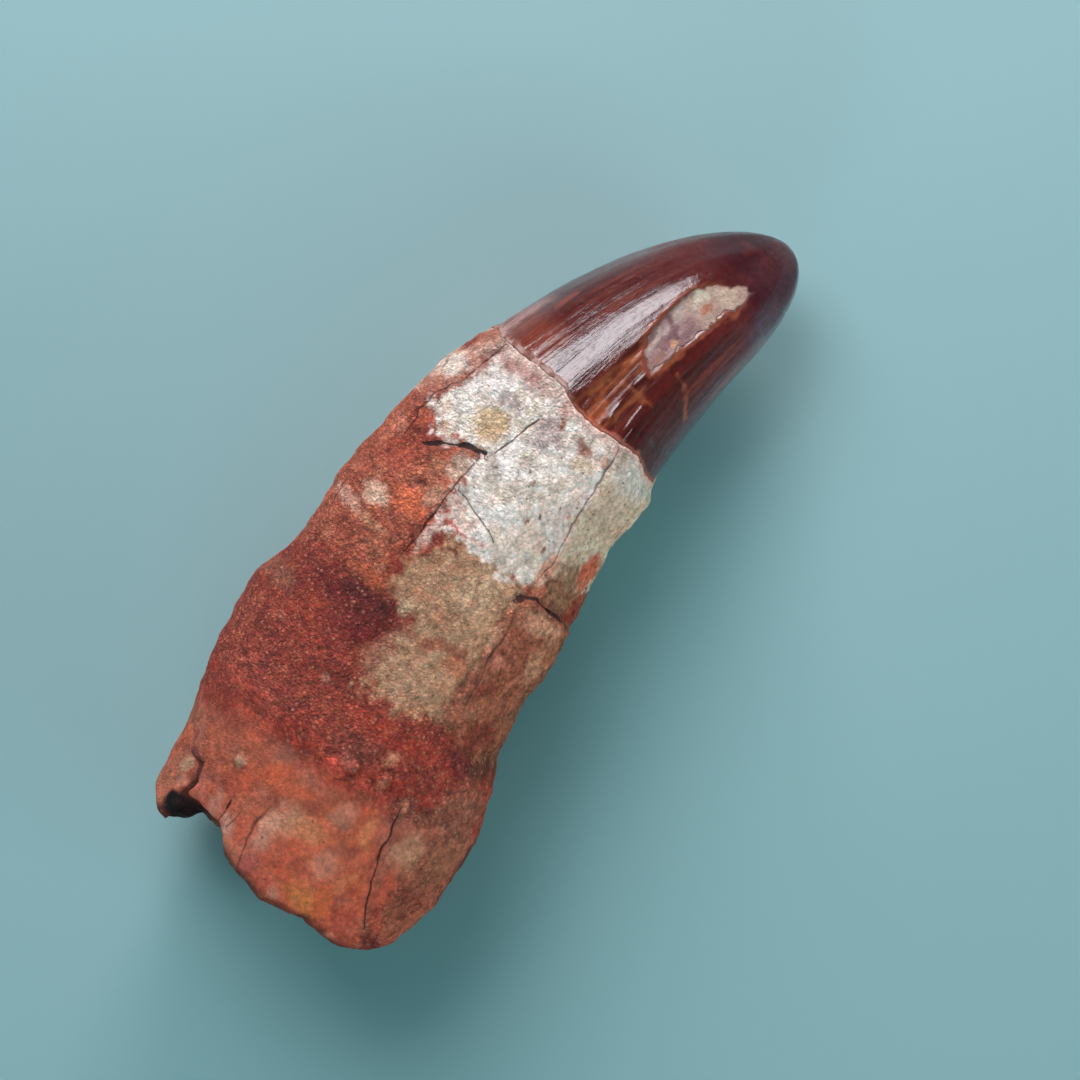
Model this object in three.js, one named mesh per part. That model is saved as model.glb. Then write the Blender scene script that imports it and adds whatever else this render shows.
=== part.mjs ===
// Fossil spinosaurus tooth: a smooth, curved crown on a broken root with a sandy crust.
// Units are millimetres, +Z is up. The tooth lies on its side: +X runs from the broken end of
// the root to the tip of the crown, and +Y points to the convex side of the curve.
// The shape is one closed skin of rings, each ring a rounded section of the tooth.

import * as THREE from "three";

// Driving dimensions
const LENGTH = 100;
const ENAMEL_EDGE = 70;
const TIP_ROUNDING = 14;
const END_ROUNDING = 2.2;
const END_REACH = 12;
const UNDERSIDE_LIFT = 0.35;

// The crown's underside rises from the table towards the tip.
const CROWN_LIFT = 3.2;
const CROWN_LIFT_START = 52;

// Middle line, half width and half thickness, at even steps from the root end to the tip.
// The last two leave out the rounding of the tip.
const MIDDLE_Y = [-1.9, -2.1, -0.9, 1.2, 1.7, 2.0, 2.1, 0.7, -1.3, -4.65, -8.45];
const HALF_WIDTH = [16.2, 17.4, 18.5, 17.4, 15.7, 15.35, 14.55, 13.2, 11.6, 9.6, 8.45];
const HALF_THICKNESS = [12.4, 13.8, 14.3, 14.0, 13.4, 12.8, 12.1, 11.2, 10.0, 8.6, 7.4];

// A section is an ellipse on the crown and a little boxier on the root.
const CROWN_SECTION_POWER = 0.98;
const ROOT_SECTION_POWER = 0.84;
const TIP_FULLNESS = 2.0;

// Edge of the enamel on the upper side: [y, x] from the concave to the convex flank.
const ENAMEL_OUTLINE = [
  [-12.5, 67.1], [-10.4, 67.9], [-9, 68.8], [-5, 68.7], [-2, 68.6], [0.2, 68.9],
  [1.6, 69.6], [2.6, 70.3], [4, 70.4], [6.5, 70.5], [10, 70.6], [12, 70.9], [14, 71.6],
];

// Broken end of the root, as [y, x] outlines of its upper lip, its middle and its lower lip.
const UPPER_BREAK = [
  [-19, 5.2], [-16.5, 2.6], [-14, 1.0], [-8, 1.7], [-3, 0.6], [2, 2.1],
  [5, 5.0], [8, 5.3], [9, 5.6], [11, 5.6], [11.7, 4.8], [12.6, 1.2], [14.5, 2.8],
];
const MIDDLE_BREAK = [
  [-19, 5.2], [-16, 2.4], [-12, 1.3], [-8, 1.9], [-3, 1.2], [2, 2.2],
  [5, 4.3], [8.2, 4.6], [9, 2.8], [10.5, 2.0], [12.4, 1.5], [14.5, 3.6],
];
const LOWER_BREAK = [[-18, 6.5], [-12, 3.2], [-4, 2.4], [4, 4.6], [8, 5.2], [12, 3.4], [14.5, 5.6]];

// Layers of crust and slabs of the root on the upper side, as outlines in x and y.
// Each stands above (or, if negative, below) the root around it and ends in a short slope.
const LAYERS = [
  {
    name: "crust of the convex side",
    height: 0.7,
    slope: 0.8,
    outline: [
      [19.8, 26], [19.2, 0.2], [18.7, -3.1], [20.8, -9], [21, -26], [29, -26], [29, -8],
      [28, -1], [29, 3], [38, 4], [44, 6.2], [58.2, 6], [57.4, 9], [55.6, 12], [54.5, 14.3],
      [62, 13.8], [71, 11.3], [72, 26],
    ],
  },
  {
    name: "slab on the concave side",
    height: 1.0,
    slope: 0.7,
    outline: [[29, -8.6], [36, -7.9], [44, -7.3], [47, -7], [48, -8.3], [47.6, -12], [47.2, -26], [29, -26]],
  },
  {
    name: "slab below the crown's concave flank",
    height: 0.3,
    slope: 0.8,
    outline: [[51, -8.4], [58, -7.3], [64, -6.8], [71, -6.6], [71, -26], [50, -26]],
  },
  {
    name: "slab at the corner of the broken end",
    height: 0.45,
    slope: 0.8,
    outline: [[-2, -16], [3, -15], [8, -13.4], [14, -11.3], [20.3, -10], [20.6, -26], [-2, -26]],
  },
  {
    name: "worn shelf at the broken end",
    height: -0.3,
    slope: 1.2,
    outline: [[-2, 26], [-2, -14], [8, -12.8], [18, -9.8], [18.4, -3], [19, 0.5], [17, 12], [12, 26]],
  },
  {
    name: "chip where the enamel is gone",
    height: -0.4,
    slope: 0.6,
    outline: [[77.8, -4.1], [80, -2.9], [86, -2.6], [89.5, -3.6], [92, -6.2], [92.7, -8.1], [88, -7.8], [83, -6.1]],
  },
];

// Rounded swellings: centre in x and y, radius and height; `under` ones are on the lower side.
const SWELLINGS = [
  { x: 31.5, y: 19.5, radius: 4, height: 0.9 },
  { x: 48.5, y: 18.5, radius: 5, height: 0.6 },
  { x: 56, y: 18, radius: 6, height: 0.5 },
  { x: 11.5, y: -20.5, radius: 3, height: 1.1 },
  { x: 63, y: -13.5, radius: 5, height: 0.6 },
  { x: 6, y: 14, radius: 3.5, height: 0.6 },
  { x: 24, y: 8, radius: 9, height: 0.5 },
  { x: 35, y: -2, radius: 8, height: 0.4 },
  { x: 56, y: 1, radius: 9, height: 0.5 },
  { x: 26, y: -12, radius: 7, height: 0.8, under: true },
  { x: 44, y: 11, radius: 8, height: 0.9, under: true },
  { x: 60, y: -8, radius: 6, height: 0.5, under: true },
];

// Uneven surface: size and height of the lumps, coarse to fine.
const LUMPS = [
  { size: 11, height: 0.65 },
  { size: 4.6, height: 0.4 },
  { size: 2.1, height: 0.16 },
];
const CROWN_WAVINESS = 0.1;
const CALM_NEAR_ENAMEL = 3;

// Ridges that run along the crown.
const CROWN_RIDGES = 9;
const CROWN_RIDGE_HEIGHT = 0.12;

// Rings and their points
const POINTS_AROUND = 80;
const TIP_RINGS = 10;
const CROWN_RINGS = 7;
const ROOT_RINGS = 27;
const END_RINGS = 9;
const BREAK_RINGS = [0.87, 0.71, 0.53, 0.35, 0.17];
const EDGE_HALF_GAP = 0.2;
const HOLLOW_DEPTH = 1.6;

function clamp(value, low, high) {
  return Math.min(Math.max(value, low), high);
}

function smoothStep(from, to, value) {
  const t = clamp((value - from) / (to - from), 0, 1);
  return t * t * (3 - 2 * t);
}

function signedPower(value, power) {
  return Math.sign(value) * Math.abs(value) ** power;
}

// Catmull-Rom curve through values that are evenly spaced along the tooth.
function alongTooth(values, x) {
  const spacing = LENGTH / (values.length - 1);
  const k = clamp(Math.floor(x / spacing), 0, values.length - 2);
  const t = x / spacing - k;
  const b = values[k];
  const c = values[k + 1];
  const a = values[k - 1] ?? 2 * b - c;
  const d = values[k + 2] ?? 2 * c - b;
  const cubic = 3 * (b - c) + d - a;
  const square = 2 * a - 5 * b + 4 * c - d;
  return b + 0.5 * t * (c - a + t * (square + t * cubic));
}

// Value of an outline at a place, with straight lines between its points.
function readOutline(points, at) {
  if (at <= points[0][0]) return points[0][1];
  for (let i = 1; i < points.length; i++) {
    const [from, low] = points[i - 1];
    const [to, high] = points[i];
    if (at <= to) return low + ((high - low) * (at - from)) / (to - from);
  }
  return points[points.length - 1][1];
}

// Distance from a point to a closed outline, positive inside.
function depthInside(outline, x, y) {
  let nearest = Infinity;
  let inside = false;
  outline.forEach(([ax, ay], i) => {
    const [bx, by] = outline[(i + 1) % outline.length];
    const run = ((x - ax) * (bx - ax) + (y - ay) * (by - ay)) / ((bx - ax) ** 2 + (by - ay) ** 2);
    const t = clamp(run, 0, 1);
    nearest = Math.min(nearest, Math.hypot(x - ax - t * (bx - ax), y - ay - t * (by - ay)));
    const crosses = ay > y !== by > y;
    if (crosses && x < ax + ((y - ay) * (bx - ax)) / (by - ay)) inside = !inside;
  });
  return inside ? nearest : -nearest;
}

// Repeatable random value from -1 to 1 at a whole-numbered point.
function latticeValue(ix, iy, iz) {
  let h = Math.imul(ix, 374761393) ^ Math.imul(iy, 668265263) ^ Math.imul(iz, 1274126177);
  h = Math.imul(h ^ (h >>> 13), 1103515245);
  h ^= h >>> 16;
  return (h >>> 0) / 2147483648 - 1;
}

function mix(a, b, t) {
  return a + (b - a) * t;
}

// Smooth noise from -1 to 1 that repeats exactly on every run.
function noise(x, y, z) {
  const [ix, iy, iz] = [x, y, z].map(Math.floor);
  const [tx, ty, tz] = [x - ix, y - iy, z - iz].map((t) => t * t * t * (t * (t * 6 - 15) + 10));
  const row = (dy, dz) => mix(latticeValue(ix, iy + dy, iz + dz), latticeValue(ix + 1, iy + dy, iz + dz), tx);
  return mix(mix(row(0, 0), row(1, 0), ty), mix(row(0, 1), row(1, 1), ty), tz);
}

// Factor that closes the width and thickness to the rounded tip.
function tipFactor(x) {
  const q = clamp((LENGTH - x) / TIP_ROUNDING, 0, 1);
  return Math.sqrt(1 - (1 - q) ** TIP_FULLNESS);
}

// Height above the plain section of everything on the skin at a point.
// `station` is the ring's own place, on which the enamel edge is always at ENAMEL_EDGE.
function relief(station, angle, x, y, z) {
  const upper = smoothStep(-0.2, 0.35, Math.sin(angle));
  const under = 1 - upper;
  const root = 1 - smoothStep(ENAMEL_EDGE - EDGE_HALF_GAP, ENAMEL_EDGE + EDGE_HALF_GAP, station);
  const proud = mix(0.75, 0.45, smoothStep(-1, 3, y));
  let height = root * proud;
  for (const layer of LAYERS) {
    const covered = smoothStep(-layer.slope / 2, layer.slope / 2, depthInside(layer.outline, x, y));
    height += layer.height * covered * upper;
  }
  for (const swelling of SWELLINGS) {
    const away = Math.hypot(x - swelling.x, y - swelling.y) / swelling.radius;
    height += swelling.height * smoothStep(1, 0, away) * (swelling.under ? under : upper);
  }
  const wearing = 1 - 0.75 * smoothStep(-0.7, -0.95, Math.sin(angle));
  const lumpy = root * smoothStep(0, CALM_NEAR_ENAMEL, ENAMEL_EDGE - station);
  for (const lump of LUMPS) {
    const value = noise(x / lump.size, y / lump.size, z / lump.size);
    height += value * lump.height * mix(CROWN_WAVINESS, wearing, lumpy);
  }
  const ridge = Math.cos(angle * CROWN_RIDGES + 1.3 * noise(x / 30, 0, 0));
  height += (1 - root) * tipFactor(x) * CROWN_RIDGE_HEIGHT * ridge;
  return height;
}

// A point of the skin. `inset` draws the section in, `shift` moves it along the tooth.
function skinPoint(station, angle, inset, shift) {
  const rootShape = 1 - smoothStep(ENAMEL_EDGE - 12, ENAMEL_EDGE + 4, station);
  const power = mix(CROWN_SECTION_POWER, ROOT_SECTION_POWER, rootShape);
  const closing = tipFactor(station);
  const halfWidth = alongTooth(HALF_WIDTH, station) * closing;
  const halfThickness = alongTooth(HALF_THICKNESS, station) * closing;
  const lift = UNDERSIDE_LIFT + CROWN_LIFT * smoothStep(CROWN_LIFT_START, LENGTH, station);
  const middleZ = alongTooth(HALF_THICKNESS, station) + lift;
  const middleY = alongTooth(MIDDLE_Y, station);
  const cos = Math.cos(angle);
  const sin = Math.sin(angle);
  const outward = new THREE.Vector2(
    signedPower(cos, 2 - power) * halfThickness,
    signedPower(sin, 2 - power) * halfWidth,
  ).normalize();
  const y = middleY + halfWidth * signedPower(cos, power);
  const z = middleZ + halfThickness * signedPower(sin, power);
  const x = station + shift;
  const height = relief(station, angle, x, y, z) * closing - inset;
  return new THREE.Vector3(x, y + outward.x * height, z + outward.y * height);
}

// Shift that carries the rings at the enamel onto its uneven edge.
function enamelShift(station, angle) {
  const y = alongTooth(MIDDLE_Y, ENAMEL_EDGE) + alongTooth(HALF_WIDTH, ENAMEL_EDGE) * Math.cos(angle);
  const upper = smoothStep(-0.3, 0.3, Math.sin(angle));
  const below = 1.2 * noise(0, y / 4, 7) - 0.6;
  const edge = mix(below, readOutline(ENAMEL_OUTLINE, y) - ENAMEL_EDGE, upper);
  return edge * smoothStep(9, 0, Math.abs(station - ENAMEL_EDGE));
}

// How far the broken end stands back. `level` goes from -1 at the bottom of the end to 1 at the
// top, and `inner` from 0 at the rim to 1 at the middle.
function breakDepth(y, level, inner) {
  const middle = readOutline(MIDDLE_BREAK, y);
  const upper = mix(middle, readOutline(UPPER_BREAK, y), smoothStep(0.2, 0.7, level));
  const lip = mix(upper, readOutline(LOWER_BREAK, y), smoothStep(-0.2, -0.8, level));
  const coarse = 0.5 * noise(y / 6, level * 2, 11);
  const fine = 0.4 * noise(y / 2.4, level * 5, 3);
  const hollow = HOLLOW_DEPTH * smoothStep(0.25, 0.75, inner);
  return lip + hollow + (coarse + fine) * smoothStep(0, 0.2, inner);
}

function endShift(station, angle) {
  const y = alongTooth(MIDDLE_Y, 0) + alongTooth(HALF_WIDTH, 0) * Math.cos(angle);
  return breakDepth(y, Math.sin(angle), 0) * (1 - clamp(station / END_REACH, 0, 1)) ** 2;
}

// Stations of the rings, from the tip to the broken end.
function ringStations() {
  const stations = [];
  for (let k = 1; k <= TIP_RINGS; k++) {
    stations.push(LENGTH - TIP_ROUNDING * (k / TIP_RINGS) ** 1.8);
  }
  const crownEnd = LENGTH - TIP_ROUNDING;
  const edgeAbove = ENAMEL_EDGE + EDGE_HALF_GAP;
  const edgeBelow = ENAMEL_EDGE - EDGE_HALF_GAP;
  for (let k = 1; k <= CROWN_RINGS; k++) {
    stations.push(mix(crownEnd, edgeAbove, k / CROWN_RINGS));
  }
  for (let k = 0; k <= ROOT_RINGS; k++) {
    stations.push(mix(edgeBelow, END_REACH, k / ROOT_RINGS));
  }
  for (let k = 1; k <= END_RINGS; k++) {
    stations.push(END_REACH * (1 - k / END_RINGS) ** 1.4);
  }
  return stations;
}

// One ring of the skin; the last rings roll over into the broken end.
function skinRing(station) {
  const roll = clamp(1 - station / END_ROUNDING, 0, 1);
  const inset = END_ROUNDING * (1 - Math.sqrt(1 - roll * roll));
  return Array.from({ length: POINTS_AROUND }, (_, k) => {
    const angle = (2 * Math.PI * k) / POINTS_AROUND;
    const shift = enamelShift(station, angle) + endShift(station, angle);
    return skinPoint(station, angle, inset, shift);
  });
}

// One ring of the broken end, a scaled copy of the rim that stands back from it.
function breakRing(rim, middle, scale) {
  const reach = alongTooth(HALF_THICKNESS, 0);
  return rim.map((point) => {
    const y = mix(middle.y, point.y, scale);
    const z = mix(middle.z, point.z, scale);
    return new THREE.Vector3(breakDepth(y, (z - middle.z) / reach, 1 - scale), y, z);
  });
}

function toothRings() {
  const rings = ringStations().map(skinRing);
  const rim = rings[rings.length - 1];
  const middle = new THREE.Vector3(0, alongTooth(MIDDLE_Y, 0), alongTooth(HALF_THICKNESS, 0));
  middle.x = breakDepth(middle.y, 0, 1);
  for (const scale of BREAK_RINGS) {
    rings.push(breakRing(rim, middle, scale));
  }
  return { rings, middle };
}

function toothGeometry() {
  const { rings, middle } = toothRings();
  const tip = skinPoint(LENGTH, 0, 0, 0);
  const points = [tip, ...rings.flat(), middle];
  const faces = [];
  const at = (ring, k) => 1 + ring * POINTS_AROUND + (k % POINTS_AROUND);
  const last = rings.length - 1;
  for (let k = 0; k < POINTS_AROUND; k++) {
    faces.push(0, at(0, k), at(0, k + 1));
    for (let ring = 0; ring < last; ring++) {
      faces.push(at(ring, k), at(ring + 1, k), at(ring + 1, k + 1));
      faces.push(at(ring, k), at(ring + 1, k + 1), at(ring, k + 1));
    }
    faces.push(points.length - 1, at(last, k + 1), at(last, k));
  }
  // The lowest points are worn level, which is the flat that the tooth lies on.
  const positions = points.flatMap((point) => [point.x, point.y, Math.max(point.z, 0)]);
  const geometry = new THREE.BufferGeometry();
  geometry.setAttribute("position", new THREE.Float32BufferAttribute(positions, 3));
  geometry.setIndex(faces);
  geometry.computeBoundingBox();
  const { min, max } = geometry.boundingBox;
  geometry.translate(-(min.x + max.x) / 2, -(min.y + max.y) / 2, -min.z);
  geometry.computeVertexNormals();
  return geometry;
}

const fossil = new THREE.MeshStandardMaterial({ color: 0x9a5f4b, roughness: 0.75, metalness: 0 });

const model = new THREE.Group();
const tooth = new THREE.Mesh(toothGeometry(), fossil);
tooth.name = "tooth";
model.add(tooth);

export default model;
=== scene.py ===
# Fossil spinosaurus tooth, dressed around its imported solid.
# The form is worked out in millimetres, in the tooth's own frame: x runs from the broken end of
# the root (0) to the tip of the crown (100), y points to the convex side and z up.

import math
from functools import reduce

import bpy
import numpy as np
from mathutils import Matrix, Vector


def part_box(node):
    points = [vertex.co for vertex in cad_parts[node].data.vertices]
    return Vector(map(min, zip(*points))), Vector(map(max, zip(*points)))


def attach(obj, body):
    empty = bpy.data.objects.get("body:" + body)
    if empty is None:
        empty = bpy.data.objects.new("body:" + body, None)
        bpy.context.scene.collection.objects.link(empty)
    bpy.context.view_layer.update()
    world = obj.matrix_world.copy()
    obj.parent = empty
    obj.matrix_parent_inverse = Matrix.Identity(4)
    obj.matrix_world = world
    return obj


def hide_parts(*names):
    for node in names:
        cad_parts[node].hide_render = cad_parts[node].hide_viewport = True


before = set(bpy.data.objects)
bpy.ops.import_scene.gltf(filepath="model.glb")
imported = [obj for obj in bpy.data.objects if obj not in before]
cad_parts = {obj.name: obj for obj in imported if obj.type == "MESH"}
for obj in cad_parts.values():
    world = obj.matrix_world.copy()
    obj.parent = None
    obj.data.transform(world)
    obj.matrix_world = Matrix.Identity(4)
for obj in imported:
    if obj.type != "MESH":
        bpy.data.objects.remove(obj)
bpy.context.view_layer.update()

MM = 0.001

# --- form, as in the solid
LENGTH = 100.0
ENAMEL_EDGE = 70.0
TIP_ROUNDING = 14.0
END_ROUNDING = 2.2
END_REACH = 12.0
UNDERSIDE_LIFT = 0.35
CROWN_LIFT = 3.2
CROWN_LIFT_START = 52
MIDDLE_Y = [-1.9, -2.1, -0.9, 1.2, 1.7, 2, 2.1, 0.7, -1.3, -4.65, -8.45]
HALF_WIDTH = [16.2, 17.4, 18.5, 17.4, 15.7, 15.35, 14.55, 13.2, 11.6, 9.6, 8.45]
HALF_THICKNESS = [12.4, 13.8, 14.3, 14, 13.4, 12.8, 12.1, 11.2, 10, 8.6, 7.4]
CROWN_SECTION_POWER = 0.98
ROOT_SECTION_POWER = 0.84
TIP_FULLNESS = 2.0
HOLLOW_DEPTH = 1.6

ENAMEL_OUTLINE = [
    (-12.5, 67.1), (-10.4, 67.9), (-9, 68.8), (-5, 68.7), (-2, 68.6), (0.2, 68.9),
    (1.6, 69.6), (2.6, 70.3), (4, 70.4), (6.5, 70.5), (10, 70.6), (12, 70.9), (14, 71.6),
]
UPPER_BREAK = [
    (-19, 5.2), (-16.5, 2.6), (-14, 1), (-8, 1.7), (-3, 0.6), (2, 2.1),
    (5, 5), (8, 5.3), (9, 5.6), (11, 5.6), (11.7, 4.8), (12.6, 1.2), (14.5, 2.8),
]
MIDDLE_BREAK = [
    (-19, 5.2), (-16, 2.4), (-12, 1.3), (-8, 1.9), (-3, 1.2), (2, 2.2),
    (5, 4.3), (8.2, 4.6), (9, 2.8), (10.5, 2), (12.4, 1.5), (14.5, 3.6),
]
LOWER_BREAK = [(-18, 6.5), (-12, 3.2), (-4, 2.4), (4, 4.6), (8, 5.2), (12, 3.4), (14.5, 5.6)]

# Outlines of the layers on the upper side, in x and y.
CRUST = [
    (19.8, 26), (19.2, 0.2), (18.7, -3.1), (20.8, -9), (21, -26), (29, -26), (29, -8),
    (28, -1), (29, 3), (38, 4), (44, 6.2), (58.2, 6), (57.4, 9), (55.6, 12), (54.5, 14.3),
    (62, 13.8), (71, 11.3), (72, 26),
]
FLANK_SLAB = [(29, -8.6), (36, -7.9), (44, -7.3), (47, -7), (48, -8.3), (47.6, -12), (47.2, -26), (29, -26)]
CROWN_SLAB = [(51, -8.4), (58, -7.3), (64, -6.8), (71, -6.6), (71, -26), (50, -26)]
CORNER_SLAB = [(-2, -16), (3, -15), (8, -13.4), (14, -11.3), (20.3, -10), (20.6, -26), (-2, -26)]
END_SHELF = [(-2, 26), (-2, -14), (8, -12.8), (18, -9.8), (18.4, -3), (19, 0.5), (17, 12), (12, 26)]
CHIP = [
    (77.8, -4.3), (78.8, -2.8), (80, -2.2), (82, -2), (84, -1.9), (86, -2.3), (88, -3), (89.8, -4.1),
    (91.3, -5.8), (92.5, -8.7), (90.5, -8.4), (88, -7.5), (85.5, -6.7), (83.5, -6.1), (81, -5.4), (79, -4.9),
]
# outline, height, width of the slope at its edge, how far the edge wanders
LAYERS = [
    (CRUST, 0.7, 2.6, 1),
    (FLANK_SLAB, 1, 0.5, 0.3),
    (CROWN_SLAB, 0.3, 0.5, 0.2),
    (CORNER_SLAB, 0.45, 0.7, 0.3),
    (END_SHELF, -0.3, 2.4, 0.9),
    (CHIP, -0.22, 0.8, 0.3),
]
# x, y, radius, height, and whether it is on the underside
SWELLINGS = [
    (31.5, 19.5, 4, 0.9, False), (48.5, 18.5, 5, 0.6, False), (56, 18, 6, 0.5, False),
    (11.5, -20.5, 3, 1.1, False), (63, -13.5, 5, 0.6, False), (6, 14, 3.5, 0.6, False),
    (24, 8, 9, 0.5, False), (35, -2, 8, 0.4, False), (56, 1, 9, 0.5, False),
    (26, -12, 7, 0.8, True), (44, 11, 8, 0.9, True), (60, -8, 6, 0.5, True),
]
LUMPS = [(11, 0.65), (4.6, 0.4), (2.1, 0.16)]
CROWN_WAVINESS = 0.1
CALM_NEAR_ENAMEL = 3
CROWN_RIDGES = 9
CROWN_RIDGE_HEIGHT = 0.12

# --- finer than the solid
SKIN_INSET = 0.22
EDGE_SLOPE = 0.2
COLUMNS = 400
ROOT_ROWS = 204
BREAK_RINGS = 40
CROWN_ROWS = 140
# Radius that turns an angle round the crown into a length, and the gap left at its tip.
CROWN_RADIUS = 12
TIP_GAP = 0.02


def clamp01(value):
    return np.clip(value, 0, 1)


def smooth(low, high, value):
    t = clamp01((value - low) / (high - low))
    return t * t * (3 - 2 * t)


def lerp(a, b, t):
    return a + (b - a) * t


def signed_power(value, power):
    return np.sign(value) * np.abs(value) ** power


def along(values, x):
    """Catmull-Rom curve through values spaced evenly along the tooth."""
    v = np.array(values)
    v = np.concatenate([[2 * v[0] - v[1]], v, [2 * v[-1] - v[-2]]])
    spacing = LENGTH / (len(values) - 1)
    k = np.clip(np.floor(x / spacing).astype(int), 0, len(values) - 2)
    t = x / spacing - k
    a, b, c, d = v[k], v[k + 1], v[k + 2], v[k + 3]
    return b + 0.5 * t * (c - a + t * (2 * a - 5 * b + 4 * c - d + t * (3 * (b - c) + d - a)))


def read_outline(points, at):
    places, values = zip(*points)
    return np.interp(at, places, values)


def to_stretch(ax, ay, bx, by, x, y):
    """Distance to the straight line from a to b, and how far along it the nearest place is, 0 to 1."""
    t = clamp01(((x - ax) * (bx - ax) + (y - ay) * (by - ay)) / ((bx - ax) ** 2 + (by - ay) ** 2))
    return np.hypot(x - ax - t * (bx - ax), y - ay - t * (by - ay)), t


def depth_inside(outline, x, y):
    """Distance from points to a closed outline, positive inside."""
    nearest = np.full(np.shape(x), np.inf)
    inside = np.zeros(np.shape(x), bool)
    for (ax, ay), (bx, by) in zip(outline, outline[1:] + outline[:1]):
        nearest = np.minimum(nearest, to_stretch(ax, ay, bx, by, x, y)[0])
        if ay != by:
            crosses = (ay > y) != (by > y)
            inside ^= crosses & (x < ax + (y - ay) * (bx - ax) / (by - ay))
    return np.where(inside, nearest, -nearest)


def lattice(ix, iy, iz):
    """Repeatable random values from -1 to 1 at whole-numbered points."""
    ix, iy, iz = (np.asarray(i).astype(np.int64).astype(np.uint32) for i in (ix, iy, iz))
    h = ix * np.uint32(374761393) ^ iy * np.uint32(668265263) ^ iz * np.uint32(1274126177)
    h = (h ^ (h >> np.uint32(13))) * np.uint32(1103515245)
    h ^= h >> np.uint32(16)
    return h / 2147483648.0 - 1.0


def noise(x, y, z):
    """Smooth noise from -1 to 1, the same as the solid's."""
    x, y, z = np.broadcast_arrays(np.asarray(x, float), np.asarray(y, float), np.asarray(z, float))
    ix, iy, iz = np.floor(x), np.floor(y), np.floor(z)
    tx, ty, tz = ((t * t * t * (t * (t * 6 - 15) + 10)) for t in (x - ix, y - iy, z - iz))

    def row(dy, dz):
        return lerp(lattice(ix, iy + dy, iz + dz), lattice(ix + 1, iy + dy, iz + dz), tx)

    return lerp(lerp(row(0, 0), row(1, 0), ty), lerp(row(0, 1), row(1, 1), ty), tz)


def grain(p, size, layer=0):
    """Noise of one size at points p, moved by `layer` so that two uses don't match."""
    return noise(p[..., 0] / size + layer, p[..., 1] / size - layer, p[..., 2] / size + 2 * layer)


def tip_factor(x):
    q = clamp01((LENGTH - x) / TIP_ROUNDING)
    return np.sqrt(np.maximum(1 - (1 - q) ** TIP_FULLNESS, 0))


def enamel_shift(station, angle):
    y = along(MIDDLE_Y, np.array(ENAMEL_EDGE)) + along(HALF_WIDTH, np.array(ENAMEL_EDGE)) * np.cos(angle)
    upper = smooth(-0.3, 0.3, np.sin(angle))
    below = 1.2 * noise(0, y / 4, 7) - 0.6
    edge = lerp(below, read_outline(ENAMEL_OUTLINE, y) - ENAMEL_EDGE, upper)
    edge = edge + 0.12 * noise(angle * 22, 3, 1) + 0.04 * noise(angle * 60, 8, 2)
    return edge * smooth(9, 0, np.abs(station - ENAMEL_EDGE))


def break_depth(y, level, inner):
    middle = read_outline(MIDDLE_BREAK, y)
    upper = lerp(middle, read_outline(UPPER_BREAK, y), smooth(0.2, 0.7, level))
    lip = lerp(upper, read_outline(LOWER_BREAK, y), smooth(-0.2, -0.8, level))
    coarse = 0.5 * noise(y / 6, level * 2, 11)
    fine = 0.4 * noise(y / 2.4, level * 5, 3)
    hollow = HOLLOW_DEPTH * smooth(0.25, 0.75, inner)
    return lip + hollow + (coarse + fine) * smooth(0, 0.2, inner)


def end_shift(station, angle):
    y = along(MIDDLE_Y, np.array(0)) + along(HALF_WIDTH, np.array(0)) * np.cos(angle)
    ragged = 0.25 * noise(y / 1.3, np.sin(angle) * 4, 5)
    return (break_depth(y, np.sin(angle), 0) + ragged) * (1 - clamp01(station / END_REACH)) ** 2


def drawn_in(x):
    """Keeps both ends of the skin as far inside the solid as its sides are."""
    return SKIN_INSET + x * (1 - 2 * SKIN_INSET / LENGTH)


class Skin:
    """Points of the plain section and what is needed to raise relief on them."""

    def __init__(self, station, angle):
        self.station, self.angle = np.broadcast_arrays(station, angle)
        shift = enamel_shift(self.station, self.angle) + end_shift(self.station, self.angle)
        root_shape = 1 - smooth(ENAMEL_EDGE - 12, ENAMEL_EDGE + 4, self.station)
        power = lerp(CROWN_SECTION_POWER, ROOT_SECTION_POWER, root_shape)
        self.closing = tip_factor(self.station)
        half_width = along(HALF_WIDTH, self.station) * self.closing
        half_thickness = along(HALF_THICKNESS, self.station) * self.closing
        lift = UNDERSIDE_LIFT + CROWN_LIFT * smooth(CROWN_LIFT_START, LENGTH, self.station)
        middle_z = along(HALF_THICKNESS, self.station) + lift
        cos, sin = np.cos(self.angle), np.sin(self.angle)
        out_y = signed_power(cos, 2 - power) * half_thickness
        out_z = signed_power(sin, 2 - power) * half_width
        size = np.maximum(np.hypot(out_y, out_z), 1e-9)
        self.out_y, self.out_z = out_y / size, out_z / size
        self.x = self.station + shift
        self.y = along(MIDDLE_Y, self.station) + half_width * signed_power(cos, power)
        self.z = middle_z + half_thickness * signed_power(sin, power)
        self.upper = smooth(-0.2, 0.35, sin)
        self.base = np.stack([self.x, self.y, self.z], -1)

    def grain(self, size, layer=0):
        return grain(self.base, size, layer)

    def raised(self, height):
        y, z = self.y + self.out_y * height, self.z + self.out_z * height
        return np.stack([drawn_in(self.x), y, np.maximum(z, 0)], -1)


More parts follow.
